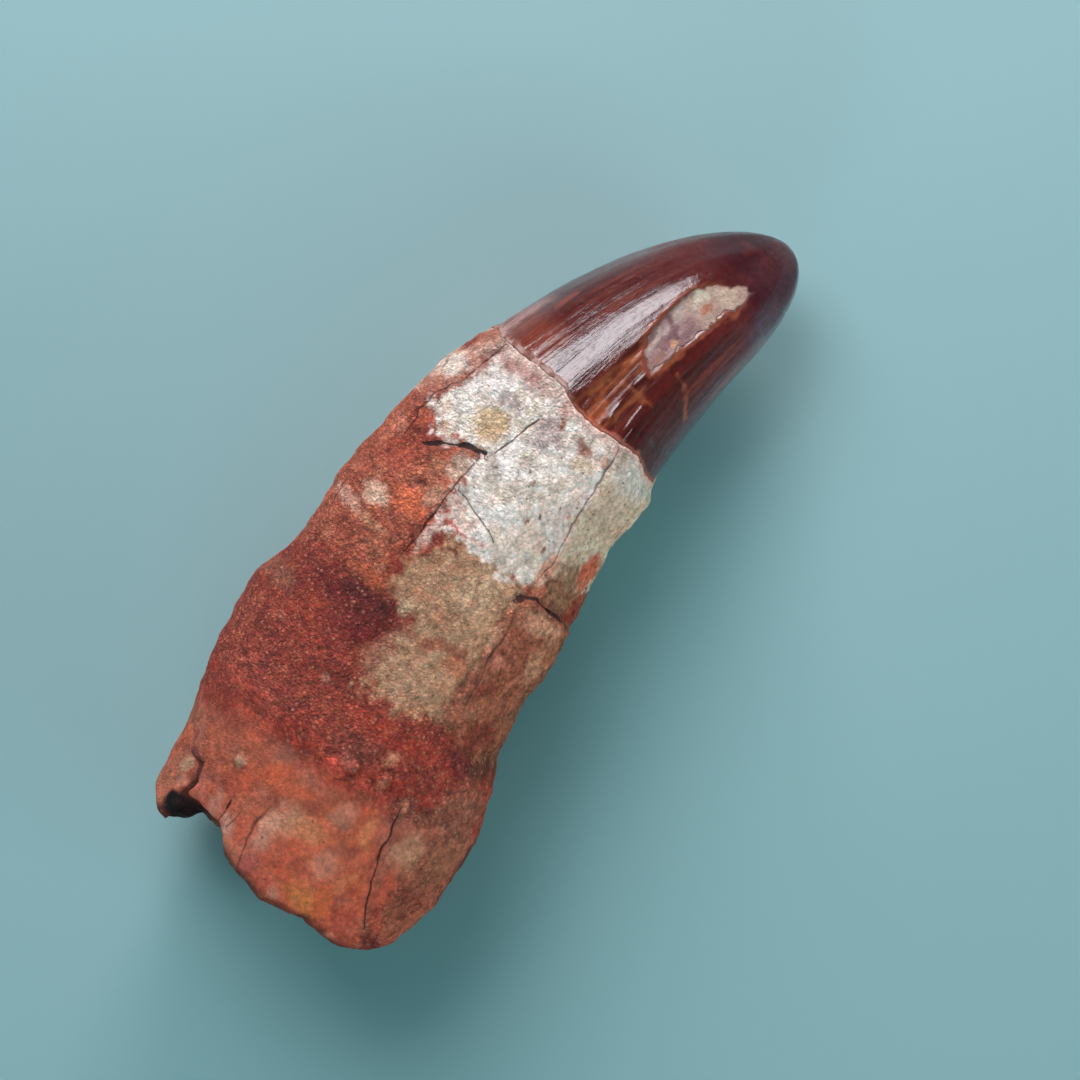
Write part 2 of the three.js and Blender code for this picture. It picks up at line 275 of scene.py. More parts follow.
def shared_relief(s, root):
    """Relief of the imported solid; `root` is 1 on the root and 0 on the crown."""
    proud = lerp(0.75, 0.45, smooth(-1, 3, s.y))
    height = root * proud * lerp(0.12, 1, smooth(0, 3, ENAMEL_EDGE - s.station))
    for outline, rise, slope, wander in LAYERS:
        x = s.x + wander * s.grain(1.7, 3)
        y = s.y + wander * s.grain(1.7, 9)
        covered = smooth(-slope / 2, slope / 2, depth_inside(outline, x, y))
        if outline is FLANK_SLAB:
            covered = covered * smooth(28, 35, x)
        height = height + rise * covered * s.upper
    for x, y, radius, rise, under in SWELLINGS:
        away = np.hypot(s.x - x, s.y - y) / radius
        height = height + rise * smooth(1, 0, away) * (1 - s.upper if under else s.upper)
    wearing = 1 - 0.75 * smooth(-0.7, -0.95, np.sin(s.angle))
    lumpy = root * smooth(0, CALM_NEAR_ENAMEL, ENAMEL_EDGE - s.station)
    for size, rise in LUMPS:
        height = height + s.grain(size) * rise * lerp(CROWN_WAVINESS, wearing, lumpy)
    ridge = np.cos(s.angle * CROWN_RIDGES + 1.3 * noise(s.x / 30, 0, 0))
    return height + (1 - root) * tip_factor(s.x) * CROWN_RIDGE_HEIGHT * ridge


# --- cracks
# points, half width, depth, darkness
ROOT_CRACKS = [
    # between the red crust and the white plate, with its short branch
    ([(55.2, 12.3), (55.5, 11.7), (56.2, 10.7), (56.7, 9.9), (57.4, 8.9)], 0.23, 0.45, 1),
    ([(57.3, 9), (57.9, 8), (58.1, 7.2), (58.1, 6.4), (58.4, 5.8), (58.7, 5.3)], 0.27, 0.5, 1),
    ([(58.2, 6.1), (57.7, 5.8), (57, 5.75)], 0.08, 0.2, 0.8),
    ([(42.3, 6.4), (46, 6.3), (50, 6.25), (52.4, 6.2), (54, 6.1), (57, 5.8)], 0.09, 0.15, 0.85),
    ([(58.9, 4.85), (60.5, 4.35), (62, 3.85), (63.8, 3.5), (65.8, 2.8)], 0.09, 0.12, 0.85),
    ([(54, 14.3), (58, 14.4), (61, 13.9), (62.5, 13.3), (64.2, 12.7), (66, 12.3), (68, 11.9), (71, 11.1)],
     0.05, 0.1, 0.7),
    ([(41.5, 15.6), (44.5, 15.8), (47, 15.6)], 0.05, 0.1, 0.7),
    # in the white plate
    ([(53.3, 5.8), (53, 4.5), (52.6, 3.6), (52, 2), (51.4, 0.3), (50.7, -1.3)], 0.1, 0.15, 0.75),
    ([(50.2, -8.2), (52.5, -8.3), (54, -8), (56, -7.7), (58, -7.3), (60, -7.1), (62, -6.9), (65, -6.7),
      (69, -6.6)], 0.05, 0.15, 0.7),
    # round the slab on the concave flank
    ([(32, -9.6), (34, -8.9), (36.5, -8.7), (39, -8), (43, -7.8), (46.9, -7)], 0.05, 0.15, 0.7),
    ([(46.4, -6.8), (47.5, -7.5), (48.1, -8.4), (48, -9.4)], 0.36, 0.5, 1),
    ([(48, -9), (47.9, -10.4), (47.7, -12.4)], 0.16, 0.3, 0.9),
    # at the broken end
    ([(4.6, -15), (7, -13.8), (9, -13.1), (12, -12.1), (14, -11.6), (16, -11.1), (18, -10.5), (20.2, -10.1)],
     0.06, 0.2, 0.9),
    ([(4.4, 6), (6.4, 6), (8.4, 6.2)], 0.09, 0.15, 0.9),
    ([(3.2, 12.2), (5.5, 11.5), (7.5, 11.1), (9.4, 11.8), (9.8, 13.8)], 0.22, 0.5, 0.7),
    ([(1.6, 0.8), (3.4, 1.1), (5.6, 1.9), (8, 2.1), (10.6, 1.7)], 0.1, 0.12, 0.55),
    ([(5, 4.9), (6.6, 4.3), (8.6, 4.5)], 0.06, 0.1, 0.5),
    ([(17.4, -2), (18.3, -3.8), (19.3, -3.5)], 0.14, 0.2, 0.6),
]


def nearest_on_line(points, x, y):
    """Distance to a line of points, signed by its side, and how far along it the nearest place is."""
    best = np.full(np.shape(x), np.inf)
    side = place = np.zeros(np.shape(x))
    for i, ((ax, ay), (bx, by)) in enumerate(zip(points, points[1:])):
        away, t = to_stretch(ax, ay, bx, by, x, y)
        across = ((x - ax) * (by - ay) - (y - ay) * (bx - ax)) / math.hypot(bx - ax, by - ay)
        closer = away < best
        best = np.where(closer, away, best)
        side = np.where(closer, across, side)
        place = np.where(closer, (i + t) / (len(points) - 1), place)
    return best, side, place


def tapered(place):
    return smooth(0, 0.15, place) * smooth(1, 0.85, place)


# Distance where there is no crack, reach of a crack's colour, and least half width of its groove.
FAR = 9.0
CRACK_REACH = 1.2
LEAST_GROOVE = 0.16


def crack_fields(s, cracks):
    """Signed distance to the nearest crack, its half width, its darkness, and the groove's depth."""
    x = s.x + 0.1 * s.grain(1.3, 5) + 0.06 * s.grain(0.55, 6)
    y = s.y + 0.1 * s.grain(1.3, 7) + 0.06 * s.grain(0.55, 8)
    nearest = np.full(s.x.shape, np.inf)
    across = np.full(s.x.shape, FAR)
    width, dark, groove = (np.zeros(s.x.shape) for _ in range(3))
    uneven = lerp(0.35, 1.3, smooth(-0.5, 0.5, s.grain(1.6, 17)))
    for points, half, depth, darkness in cracks:
        away, side, place = nearest_on_line(points, x, y)
        taper = tapered(place)
        beyond = (place <= 0) | (place >= 1)
        closer = (away < nearest) & ~beyond
        nearest = np.where(closer, away, nearest)
        across = np.where(closer, side, across)
        here = half * uneven * lerp(0.3, 1, taper) * smooth(0.05, 0.4, s.upper)
        width = np.where(closer, np.where(away < CRACK_REACH, here, 0), width)
        dark = np.where(closer, darkness, dark)
        cut = depth * uneven * taper * s.upper * np.exp(-((away / max(half, LEAST_GROOVE)) ** 2))
        groove = np.maximum(groove, np.where(beyond, 0, cut))
    return across, width, dark, groove


# --- colours
def linear(rgb):
    c = np.array([rgb >> 16, rgb >> 8 & 255, rgb & 255]) / 255.0
    return np.where(c <= 0.04045, c / 12.92, ((c + 0.055) / 1.055) ** 2.4)


def paint(colour, mask, rgb):
    return lerp(colour, linear(rgb), clamp01(mask)[..., None])


def layer(colour, mask, rgb, *mottles):
    """Paints a region, then its mottles: share, low and high end of the noise, noise, colour."""
    colour = paint(colour, mask, rgb)
    for share, low, high, cloud, other in mottles:
        colour = paint(colour, share * mask * smooth(low, high, cloud), other)
    return colour


def spot(x, y, cx, cy, rx, ry, turn=0, soft=0.4, ragged=0):
    """Soft-edged oval: 1 in the middle and 0 outside; `turn` is in degrees."""
    c, s = math.cos(math.radians(turn)), math.sin(math.radians(turn))
    u = ((x - cx) * c + (y - cy) * s) / rx
    v = (-(x - cx) * s + (y - cy) * c) / ry
    return smooth(1 + soft, 1 - soft, np.hypot(u, v) + ragged)


# A spot is painted only within this many half lengths of its middle.
SPOT_REACH = 2


def dab(colour, x, y, ragged, cx, cy, rx, ry, rgb, strength=0.8, turn=0):
    """Paints a spot into a colour, over what is there."""
    near = np.hypot(x - cx, y - cy) < SPOT_REACH * max(rx, ry)
    there = spot(x[near], y[near], cx, cy, rx, ry, turn, ragged=ragged[near])
    colour[near] = paint(colour[near], strength * there, rgb)


# The light that a face of the tooth gets: from each lamp's side, and from all round.
LAMPS = [
    ((0.86, 0.50, 0.24), (1.68, 1.60, 1.60)),
    ((0.10, -1, 0.26), (0.24, 0.43, 0.45)),
    ((-1, -0.3, 0.3), (0, 0.23, 0.25)),
]
ROUND_LIGHT = np.array([0.4, 0.41, 0.4])
LEAST_LIGHT = 0.3
HIDDEN_LIGHT = 0.85
BRIGHTEST = 0.9


def surface_normals(s, surface):
    """Outward normals of a skin of points, from their neighbours."""
    along_it = np.gradient(surface, axis=0)
    round_it = np.roll(surface, -2, 1) - np.roll(surface, 2, 1)
    normal = np.cross(along_it, round_it)
    normal /= np.maximum(np.linalg.norm(normal, axis=-1, keepdims=True), 1e-9)
    outward = normal[..., 1] * s.out_y + normal[..., 2] * s.out_z
    return normal * np.sign(outward)[..., None]


def as_lit(colour, s, surface):
    """Turns colours as they look in the light into the colours of the tooth itself."""
    normal = surface_normals(s, surface)
    light = (0.5 + 0.5 * normal[..., 2:]) * ROUND_LIGHT
    for way, share in LAMPS:
        facing = normal @ (np.array(way) / np.linalg.norm(way))
        light = light + np.maximum(facing, 0)[..., None] * np.array(share)
    light = light * np.maximum(1, LEAST_LIGHT / light.max(-1, keepdims=True))
    seen = smooth(-0.1, 0.3, s.out_z)[..., None]
    own = colour / lerp(HIDDEN_LIGHT, light, seen)
    return own / np.maximum(1, own.max(-1, keepdims=True) / BRIGHTEST)


# Regions of the root's upper side, as x and y.
RUSTY = [
    (39, 26), (38.6, 10), (39.4, 6.6), (44, 6.3), (49, 6.4), (58, 6.1), (57.4, 9), (55.4, 12),
    (54, 14.4), (58, 14.2), (60.4, 14.4), (61, 26),
]
FLANK_STRIP = [(60, 26), (60.2, 14.3), (64, 13), (68, 12.1), (72, 10.8), (72, 26)]
BUFF = [
    (28.2, 1), (28.2, -4.6), (30.6, -8.6), (34.6, -9.4), (40, -8.4), (48.2, -8), (50, -7.4), (49, 0),
    (48.9, 3.2), (45.8, 3.4), (44, 6), (39.6, 6.2), (38.4, 4.6), (37.6, 1.2), (35.6, 2.2), (33.4, 2.8),
    (31, 3.2),
]
STAIN = [
    (31.3, 5), (32, 8.4), (34.4, 9), (34.6, 13.4), (36, 14.3), (38, 13.6), (37.8, 9), (38.2, 5), (37.2, 3),
    (37.8, 1.4), (36.4, 1), (35.8, 2.4), (34, 3.2), (32, 4),
]
WHITE = [
    (48.4, -6.8), (48.4, -1), (48.8, 1), (49.2, 5.6), (54, 5.9), (58.4, 5.8), (58.2, 8.2), (56.9, 10.2),
    (57.2, 12.4), (60.4, 13.5), (64.5, 12.5), (72, 10.6), (72, -14), (58, -14), (51.6, -12.6), (50.6, -9),
]
LOWER_PLATE = [(48.2, -7.2), (54, -8.2), (60, -7.2), (72, -6.6), (72, -20), (48.2, -20)]

# Spots on the root's upper side: x, y, half length, half width, colour as lit, strength, turn in degrees
SPOTS = [
    # knob at the corner of the broken end
    (6, 13.6, 2.8, 1, 0xAC705A, 0.7, 8), (8.3, 13.3, 1.2, 0.8, 0xB49678),
    (2.8, 13.1, 1.4, 0.6, 0xC2725C, 0.8, 12), (6.6, 12.6, 0.9, 0.4, 0xC68E7A, 0.6),
    # the second spot on the next line is painted shade along the groove beside the knob
    (9.9, 13, 0.7, 1.3, 0x703638, 0.8, -10), (7.6, 11.6, 2.4, 0.4, 0x6E3834, 0.7, -4),
    (7, 10.1, 1.9, 0.8, 0xA66A5C, 0.7), (6.6, 7.4, 1.9, 1.1, 0xB68270, 0.9),
    # smooth mineral at the broken end
    (5.6, 4.6, 0.9, 1.3, 0xB48A7A, 0.85, -30), (10.6, 6.6, 2, 1.4, 0xAC543E),
    (12.7, 8.1, 0.9, 0.8, 0xCAA284, 0.9), (13.8, 2.6, 1.8, 2.6, 0xBE6444, 0.85, 8),
    (14.9, 8.4, 1.9, 2, 0xB26046, 0.7), (16.5, 3.8, 1.1, 1.6, 0x986252, 0.7, 15),
    (7.8, 3.1, 2.6, 0.9, 0xB6644C), (8, 0.5, 3.4, 1, 0xCA967E, 0.8, 3), (10.2, -1.2, 2, 1.5, 0xC08E70, 0.85),
    (10.8, -3.6, 1.8, 1.8, 0xD08E64, 0.95), (3.2, 0.2, 1.9, 1, 0x90524E, 0.9, -8),
    (2.4, -4.3, 0.9, 0.6, 0xB4826E, 0.9), (3.6, -7.6, 1.7, 2.3, 0xFA9E5E, 1, 10),
    (4.6, -9.6, 2, 1.1, 0xCC7246, 0.9, 15), (3.6, -12.4, 2, 1.2, 0x984A3C),
    (1.8, -12.5, 0.7, 0.7, 0xD89078, 0.9), (8.4, -7.2, 1.8, 1.6, 0xAA7A64, 0.9),
    (8.2, -10.3, 1.8, 0.6, 0xCC825C, 0.9, -6), (14.4, -9.2, 1.9, 0.9, 0xCE885E, 0.95, 10),
    (14.6, -5.6, 2, 1.4, 0xAC7A64, 0.85),
    # slab under the long crack
    (10.2, -14.3, 2.8, 0.9, 0xAC5642, 0.8, 8), (6.4, -15.6, 1.6, 0.8, 0xA25442, 0.8, 10),
    (15.4, -13.8, 2.4, 1.5, 0xA6846A, 0.95, 5), (11, -17.2, 2.4, 1.3, 0x6C3E36),
    (16.6, -17.2, 5, 1.5, 0x88624E, 0.85), (4, -16.2, 1.3, 1.4, 0x602C2E, 0.9, -35),
    (5.8, -18, 1.4, 0.8, 0x845244, 0.7, -20), (15, -19.9, 6, 0.8, 0x5A2E26, 0.9, 2),
    # small lumps where the crust begins
    (20.4, -2.6, 0.8, 0.9, 0xBC7668), (20.3, -7.4, 1, 0.8, 0xAE7E6A), (23.3, -6.4, 0.9, 0.7, 0xD29276, 0.9),
    (19.8, -10.6, 1.1, 0.35, 0xCE8A6E, 0.8, 8),
    # red crust
    (22, -9, 2, 1.6, 0x7E2E24), (22, -3.6, 1.8, 2.6, 0x743A30, 0.6),
    (25.6, -2.6, 1.5, 4.6, 0xA23E30, 0.85, -4), (26.7, 5.2, 0.55, 0.5, 0xA48672, 0.9),
    (22, 12, 2.6, 5, 0x9A4C42, 0.6), (24.6, 8.4, 2.4, 2.6, 0x8A362C, 0.5),
    (29.6, 7.6, 2.8, 2.4, 0x943C30, 0.6), (31.8, 11.6, 1.8, 2.2, 0x9E422E, 0.6),
    (29.3, 13.5, 0.7, 0.9, 0xBE826E, 0.6), (33, 16.4, 1.5, 1.9, 0x966856, 0.8, -15),
    (27, 17, 3, 1.2, 0xA25A48, 0.5), (24, -10.6, 3.6, 1.3, 0x7C322A),
    (27.2, -12.8, 1.5, 1.8, 0x60282A, 0.85, 20), (22.6, -15.4, 3.4, 2, 0x8A6252, 0.85),
    (30.6, -12.6, 2.6, 1.4, 0x78382E, 0.8, -10), (20.8, -17, 1.6, 0.9, 0x8C5E4E, 0.7),
    (30, -15.2, 4, 1, 0x6A483A, 0.7, -14),
    # dark stain and the rust beside it
    (36.9, 8, 1, 2.2, 0x481A20, 0.7), (36.9, 4.6, 1.2, 1.2, 0x4C2022), (39.2, 7.8, 1.2, 2.4, 0xAA5E40),
    (44.3, 11.4, 0.6, 2.4, 0xC89476, 0.85, -4), (44.8, 14.6, 0.9, 1.7, 0xD2A08E, 0.9, -6),
    (47.3, 12.5, 1.3, 1.4, 0xE0B8A0, 0.95), (42.2, 9.2, 1.3, 1.3, 0xAC7058, 0.7),
    (49, 9, 1.6, 2.8, 0xD47452, 0.9), (52.6, 12.8, 2.6, 1.9, 0xA8523E), (51, 7.4, 1.7, 0.9, 0xD8A086, 0.95),
    (54, 9.2, 1.4, 1.3, 0xBA8466), (55.6, 7.2, 1.8, 1.2, 0xCEB09C, 0.95),
    (51.6, 9.6, 0.5, 0.45, 0x6E342A, 0.9), (55.6, 15.2, 1.3, 0.9, 0xC2806A),
    (57.5, 13.8, 0.8, 0.9, 0xC26650), (60, 14.6, 2.2, 0.6, 0xB87264, 0.7, -8),
    (41, 16.8, 4, 0.9, 0xA46252, 0.5),
    # buff sandstone
    (38.4, 2.9, 0.9, 0.9, 0xB4A284, 0.85), (47, 1.7, 0.45, 0.3, 0x764632, 0.9, 30),
    (32, 1.9, 2.4, 1.3, 0xA27262, 0.75), (33.8, 0.7, 0.4, 0.5, 0x80503C),
    (37.2, -3.4, 0.7, 3.4, 0x986650, 0.85, 14), (36, -5.8, 1.1, 1.6, 0xB67A58, 0.7),
    (29.4, -5, 0.9, 2, 0xBA8868), (31.2, -3, 2.2, 2.6, 0xB89678), (44.8, -3, 2.8, 2.4, 0xC4A888, 0.7),
    # slab on the concave flank
    (39.4, -8.9, 0.6, 0.5, 0xBE8472, 0.9), (33, -10, 1.6, 0.8, 0xA8765E, 0.85, -5),
    (36, -9.5, 1.4, 0.7, 0x723C30), (39.6, -10.3, 1.9, 0.8, 0x885642, 0.6),
    (41.4, -12, 2.4, 0.8, 0xB08A6E, 0.9, 3), (45.9, -10.2, 1.4, 2.4, 0xB89074, 0.95),
    (40, -13.9, 6.2, 0.7, 0x605042, 0.85, 3),
    # rust-streaked corner of the white plate
    (46.8, 5.6, 2.3, 0.5, 0xD2B0A4, 0.9), (51, 4.6, 2.2, 1.4, 0xCA9E8C, 0.6),
    (49.3, 2.8, 0.3, 2.8, 0xC66454, 0.9, 2), (50.5, 5.2, 0.5, 0.35, 0xBC5C4A), (50.6, 2, 1.1, 1.1, 0xD4B4A8),
    # white plate
    (52.4, -4.6, 2.6, 1.8, 0xBEAEA0, 0.7), (64.4, -4.4, 1.2, 1.5, 0xD0B89E),
    (54.9, -2.9, 0.35, 0.35, 0x705E4A, 0.95), (56.2, -3.7, 0.22, 0.22, 0x423630, 1),
    (58, -5, 0.25, 0.22, 0x50423C, 1), (59.9, 0.3, 0.25, 0.25, 0x564E52, 1),
    (59, -0.8, 0.35, 0.25, 0xAC8466), (53.4, -6.3, 0.35, 0.3, 0x785448, 0.9),
    (57.9, -6.4, 0.25, 0.7, 0x96684E), (57.9, 3.5, 0.35, 0.25, 0x8C8684), (65, 1, 2.4, 1.6, 0xB09E9E, 0.9),
    (66, -3.8, 0.75, 1.9, 0xA88278, 0.9, -5), (66.2, -6.1, 0.9, 0.5, 0xC29276),
    (66.8, 0.2, 0.55, 0.4, 0x946E50, 0.9), (68.7, 1, 0.9, 0.7, 0xB46E60, 0.9),
    (61.4, 7, 2.3, 2.2, 0xC8AE88, 0.95), (58.4, 9.6, 0.5, 0.5, 0xB87264, 0.9),
    (58.2, 11.5, 0.9, 0.7, 0xDAAA92), (60.4, 12.6, 1.2, 0.7, 0xDAC0AC, 0.6, 10),
    (61.8, 11.2, 1, 1.1, 0xE6DED8, 0.9), (64.8, 9.8, 2.2, 2.2, 0xCEC0BC, 0.5),
    (65.8, 8.9, 1.2, 1.1, 0xF4F0EE, 0.95), (64.4, 11.2, 1.2, 0.9, 0xF0EAE6, 0.9),
    (64.9, 6.4, 0.9, 1.6, 0xBCACAC),
    # pink rim by the enamel, and the strip on the convex flank
    (69, 7.6, 1.8, 4.2, 0xCEB8B2), (67.4, 8.6, 0.5, 2.8, 0xDED4D0), (69, 8, 0.9, 2.9, 0xBE9A94, 0.95),
    (70.4, 7.6, 0.35, 4.2, 0xDCC8C2, 0.9, 2), (69, 3.8, 1, 1.4, 0xC4A89E, 0.9),
    (68.4, -1.8, 0.7, 4.6, 0xCEB2AC, 0.5), (65, 14.2, 1.8, 0.9, 0xE6D6CA, 0.95, -24),
    (68.8, 14.2, 1.6, 1, 0xA46256, 1, -20), (70.2, 13, 1, 0.8, 0xB48472, 0.9, -20),
    # plate below the lower crack
    (51.4, -8.2, 2.2, 1, 0xD29A82, 0.85), (48.8, -8.4, 0.8, 1.4, 0xBE785E, 0.9),
    (66.2, -9.4, 2.8, 1.9, 0xCECAC2, 0.9), (61.8, -9.2, 2.6, 1.2, 0xB8AA98, 0.7),
    (65.7, -8.2, 0.6, 0.6, 0xA29894), (50.6, -11, 2.6, 1.7, 0x847056, 0.9),
    # the last spot, along the plate's bottom edge, is painted shade
    (54.3, -12.2, 2.1, 0.8, 0xD2765A, 0.95), (61, -12.7, 3.6, 0.6, 0x988A7A, 0.8, -3),
]


def root_colour(s, relief_here, surface):
    p = s.base
    big, mid, small, tiny = grain(p, 6, 1.5), grain(p, 2.4, 2.5), grain(p, 1, 3.5), grain(p, 0.55, 4.5)
    x = s.x + 0.4 * grain(p, 2, 11) + 0.25 * grain(p, 0.8, 12)
    y = s.y + 0.4 * grain(p, 2, 13) + 0.25 * grain(p, 0.8, 14)
    speckle = 0.6 * small + 0.6 * tiny

    def area(outline, blur):
        wander = blur * (1.1 * speckle + 0.5 * mid)
        return smooth(-0.8 * blur, 0.8 * blur, depth_inside(outline, x, y) + wander)

    everywhere = np.ones(s.x.shape)
    reds = [(0.6, 0, 0.6, big, 0x984A3E), (0.6, 0.1, 0.7, -big, 0x86362C), (0.5, 0.1, 0.6, mid, 0x782E26)]
    c = layer(0, everywhere, 0x8E3E32, *reds)
    paler = (0.7, 0.1, 0.5, 0.5 * small - mid, 0xBC7A62)
    c = layer(c, area(RUSTY, 1.8), 0xA65E4A, (0.7, 0.1, 0.6, mid, 0x924C3A), paler)
    c = layer(c, area(BUFF, 1.6), 0xB59576, (0.6, 0, 0.6, mid, 0xA8886A))
    c = paint(c, 0.95 * area(STAIN, 1.6), 0x6A2022)
    white = area(WHITE, 0.9)
    flake = grain(p, 0.95, 81) + 0.5 * tiny
    clouds = [(0.7, 0, 0.5, mid + 0.6 * small, 0xEAE5DF), (0.6, 0.1, 0.7, -mid, 0xCEC0AC)]
    flakes = [(0.7, 0.12, 0.3, flake, 0xF6F3F0), (0.45, 0.2, 0.45, -flake, 0xC4B6B0)]
    c = layer(c, white, 0xDED4C8, *clouds, *flakes)
    c = layer(c, area(FLANK_STRIP, 0.5), 0xCCA696, (0.6, 0, 0.5, mid, 0xB87C6C))
    c = layer(c, white * area(LOWER_PLATE, 0.4), 0xB8AA94, (0.6, 0.1, 0.6, mid, 0xA4927A))
    c = layer(c, area(FLANK_SLAB, 0.6), 0x94644E, (0.7, 0, 0.6, mid, 0x80503E))
    flank = smooth(-12, -14.5, y + 0.08 * x) * smooth(52, 46, x) * smooth(26, 30, x)
    c = paint(c, 0.7 * flank, 0x6C483A)

    ending = smooth(19, 15.6, x + 0.12 * np.maximum(y, 0) + mid + 0.6 * speckle)
    clouds = [(0.6, 0, 0.5, mid, 0x9E6A58), (0.7, 0.1, 0.6, -mid, 0xB46244)]
    c = layer(c, ending, 0xA65E48, *clouds, (0.6, 0.1, 0.5, grain(p, 1.3, 83) + 0.4 * tiny, 0x824236))
    corner = area(CORNER_SLAB, 0.5)
    c = paint(c, 0.9 * corner, 0x8A5A4A)
    c = paint(c, 0.6 * corner * smooth(0.1, 0.6, mid), 0x76463A)
    for row in SPOTS:
        dab(c, x, y, 0.3 * speckle, *row)

    # dark edge of the broken end, painted shade in the hollows of the fine relief, and a pale rim by the
    # enamel
    c = paint(c, 0.8 * smooth(1.6, 0.3, s.station + 0.5 * mid), 0x402220)
    c = paint(c, 0.4 * smooth(-0.12, -0.3, relief_here), 0x542420)
    by_enamel = smooth(1.6, 0.1, ENAMEL_EDGE - s.station + 0.6 * mid)
    c = paint(c, 0.7 * by_enamel * smooth(13, 11, y), 0xCEAEA4)

    # uneven grain, and a redder tone in the dark parts
    c = c * (1 + 0.12 * small + 0.12 * tiny + 0.14 * grain(p, 0.8, 85))[..., None]
    c = c * lerp(np.array([1, 0.84, 0.8]), 1, smooth(0.12, 0.4, c[..., 1:2]))
    c = as_lit(c, s, surface)

    # underside: the same minerals in other places
    blotches = (1, -0.2, 0.4, grain(p, 9, 21), 0xA07A62)
    u = layer(0, everywhere, 0x8E4C3C, blotches, (0.8, 0.1, 0.6, mid, 0x7E3C32))
    pale = smooth(44, 54, s.x + 5 * grain(p, 6, 23)) * smooth(-0.5, 0.1, grain(p, 8, 25) + 0.3)
    u = paint(u, 0.9 * pale, 0xCABCAC)
    u = paint(u, 0.7 * pale * smooth(0, 0.5, -mid), 0xB4A094)
    u = paint(u, 0.7 * smooth(2.2, 0.8, ENAMEL_EDGE - s.station), 0xBA968E)
    u = paint(u, 0.7 * smooth(0.25, 0.6, grain(p, 5, 27)) * smooth(30, 20, s.x), 0xB67052)
    stone = lerp(u, c, smooth(-0.35, 0.1, np.sin(s.angle) + 0.15 * mid)[..., None])
    # painted shadow: near-black in the cavity beside the knob of the broken end
    hollow = smooth(5.2, 4.7, s.x) * smooth(7.6, 8.4, s.y) * smooth(12.75, 12.5, s.y) * s.upper
    return paint(stone, hollow, 0x261E22)


# --- meshes
ATTRIBUTE_KINDS = {1: ("FLOAT", "value"), 3: ("FLOAT_VECTOR", "vector"), 4: ("FLOAT_COLOR", "color")}


def new_object(name, data):
    obj = bpy.data.objects.new(name, data)
    bpy.context.scene.collection.objects.link(obj)
    return obj


def ring_mesh(name, rings, first, last, fields):
    """A closed skin over rings of points, shut at both ends by a middle point.
    `fields` are values for each ring point; the end points repeat their nearest ring's mean."""
    count, around = rings.shape[:2]
    vertices = np.concatenate([first[None], rings.reshape(-1, 3), last[None]])
    k = np.arange(around)
    nxt = (k + 1) % around
    a = 1 + around * np.arange(count - 1)[:, None]
    b = a + around
    quads = np.stack([a + k, b + k, b + nxt, a + nxt], -1).reshape(-1, 4)
    start_fan = np.stack([0 * k, 1 + k, 1 + nxt], 1)
    end_fan = np.stack([0 * k + len(vertices) - 1, b[-1] + nxt, b[-1] + k], 1)
    faces = start_fan.tolist() + quads.tolist() + end_fan.tolist()
    mesh = bpy.data.meshes.new(name)
    mesh.from_pydata((vertices * MM).tolist(), [], faces)
    smooth_faces = np.ones(len(faces), bool)
    smooth_faces[:around] = smooth_faces[-around:] = False
    mesh.polygons.foreach_set("use_smooth", smooth_faces)
    for field, values in fields.items():
        flat = values.reshape(count * around, -1)
        top, bottom = flat[:around].mean(0), flat[-around:].mean(0)
        full = np.concatenate([top[None], flat, bottom[None]]).astype(np.float32)
        if field.endswith("colour"):
            full = np.concatenate([full, np.ones((len(full), 1), np.float32)], 1)
        kind, key = ATTRIBUTE_KINDS[full.shape[1]]
        mesh.attributes.new(field, kind, "POINT").data.foreach_set(key, full.ravel())
    mesh.validate()
    return new_object(name, mesh)


def angles():
    return 2 * math.pi * np.arange(COLUMNS)[None, :] / COLUMNS


# Small lumps by the broken end: x, y, radius, height.
PEBBLES = [
    (18.3, -1.5, 1.6, 0.45), (19.9, -3.2, 0.9, 0.35), (18.3, -5.6, 1.5, 0.4), (20.6, -7, 1.1, 0.4),
    (12.6, 8, 1, 0.25),
]


def coarseness(s):
    """How sandy the root is: 1 in the red crust, less on the pale plates and the broken end."""
    wander = s.grain(3, 37)
    coarse = lerp(0.42, 1, smooth(16.5, 20, s.x + wander))
    pale = smooth(-0.5, 0.8, depth_inside(WHITE, s.x, s.y + wander))
    buff = smooth(-0.5, 0.8, depth_inside(BUFF, s.x, s.y + wander))
    coarse = coarse * (1 - 0.35 * np.maximum(pale, buff) * s.upper)
    corner = smooth(-13, -15.5, s.y) * smooth(20, 14, s.x)
    return np.maximum(coarse, 0.85 * corner)


def fine_root_relief(s, coarse):
    p = s.base
    lumps = 0.12 * grain(p, 1.5, 29) + 0.09 * grain(p, 0.85, 31) + 0.06 * grain(p, 0.5, 33)
    pits = 0.15 * smooth(0.35, 0.75, grain(p, 0.95, 35))
    height = coarse * (lumps - pits) * smooth(0, 1.2, ENAMEL_EDGE - s.station)
    for x, y, radius, rise in PEBBLES:
        away = np.hypot(s.x - x, s.y - y) / radius
        height = height + s.upper * rise * (smooth(1, 0.3, away) - 0.5 * smooth(0.35, 0, np.abs(away - 1.1)))
    return height


def edge_ring():
    """The ring where the root's crust ends on the enamel; both pieces share it."""
    s = Skin(np.array([[ENAMEL_EDGE]]), angles())
    return s.raised(shared_relief(s, 0) - SKIN_INSET)[0]


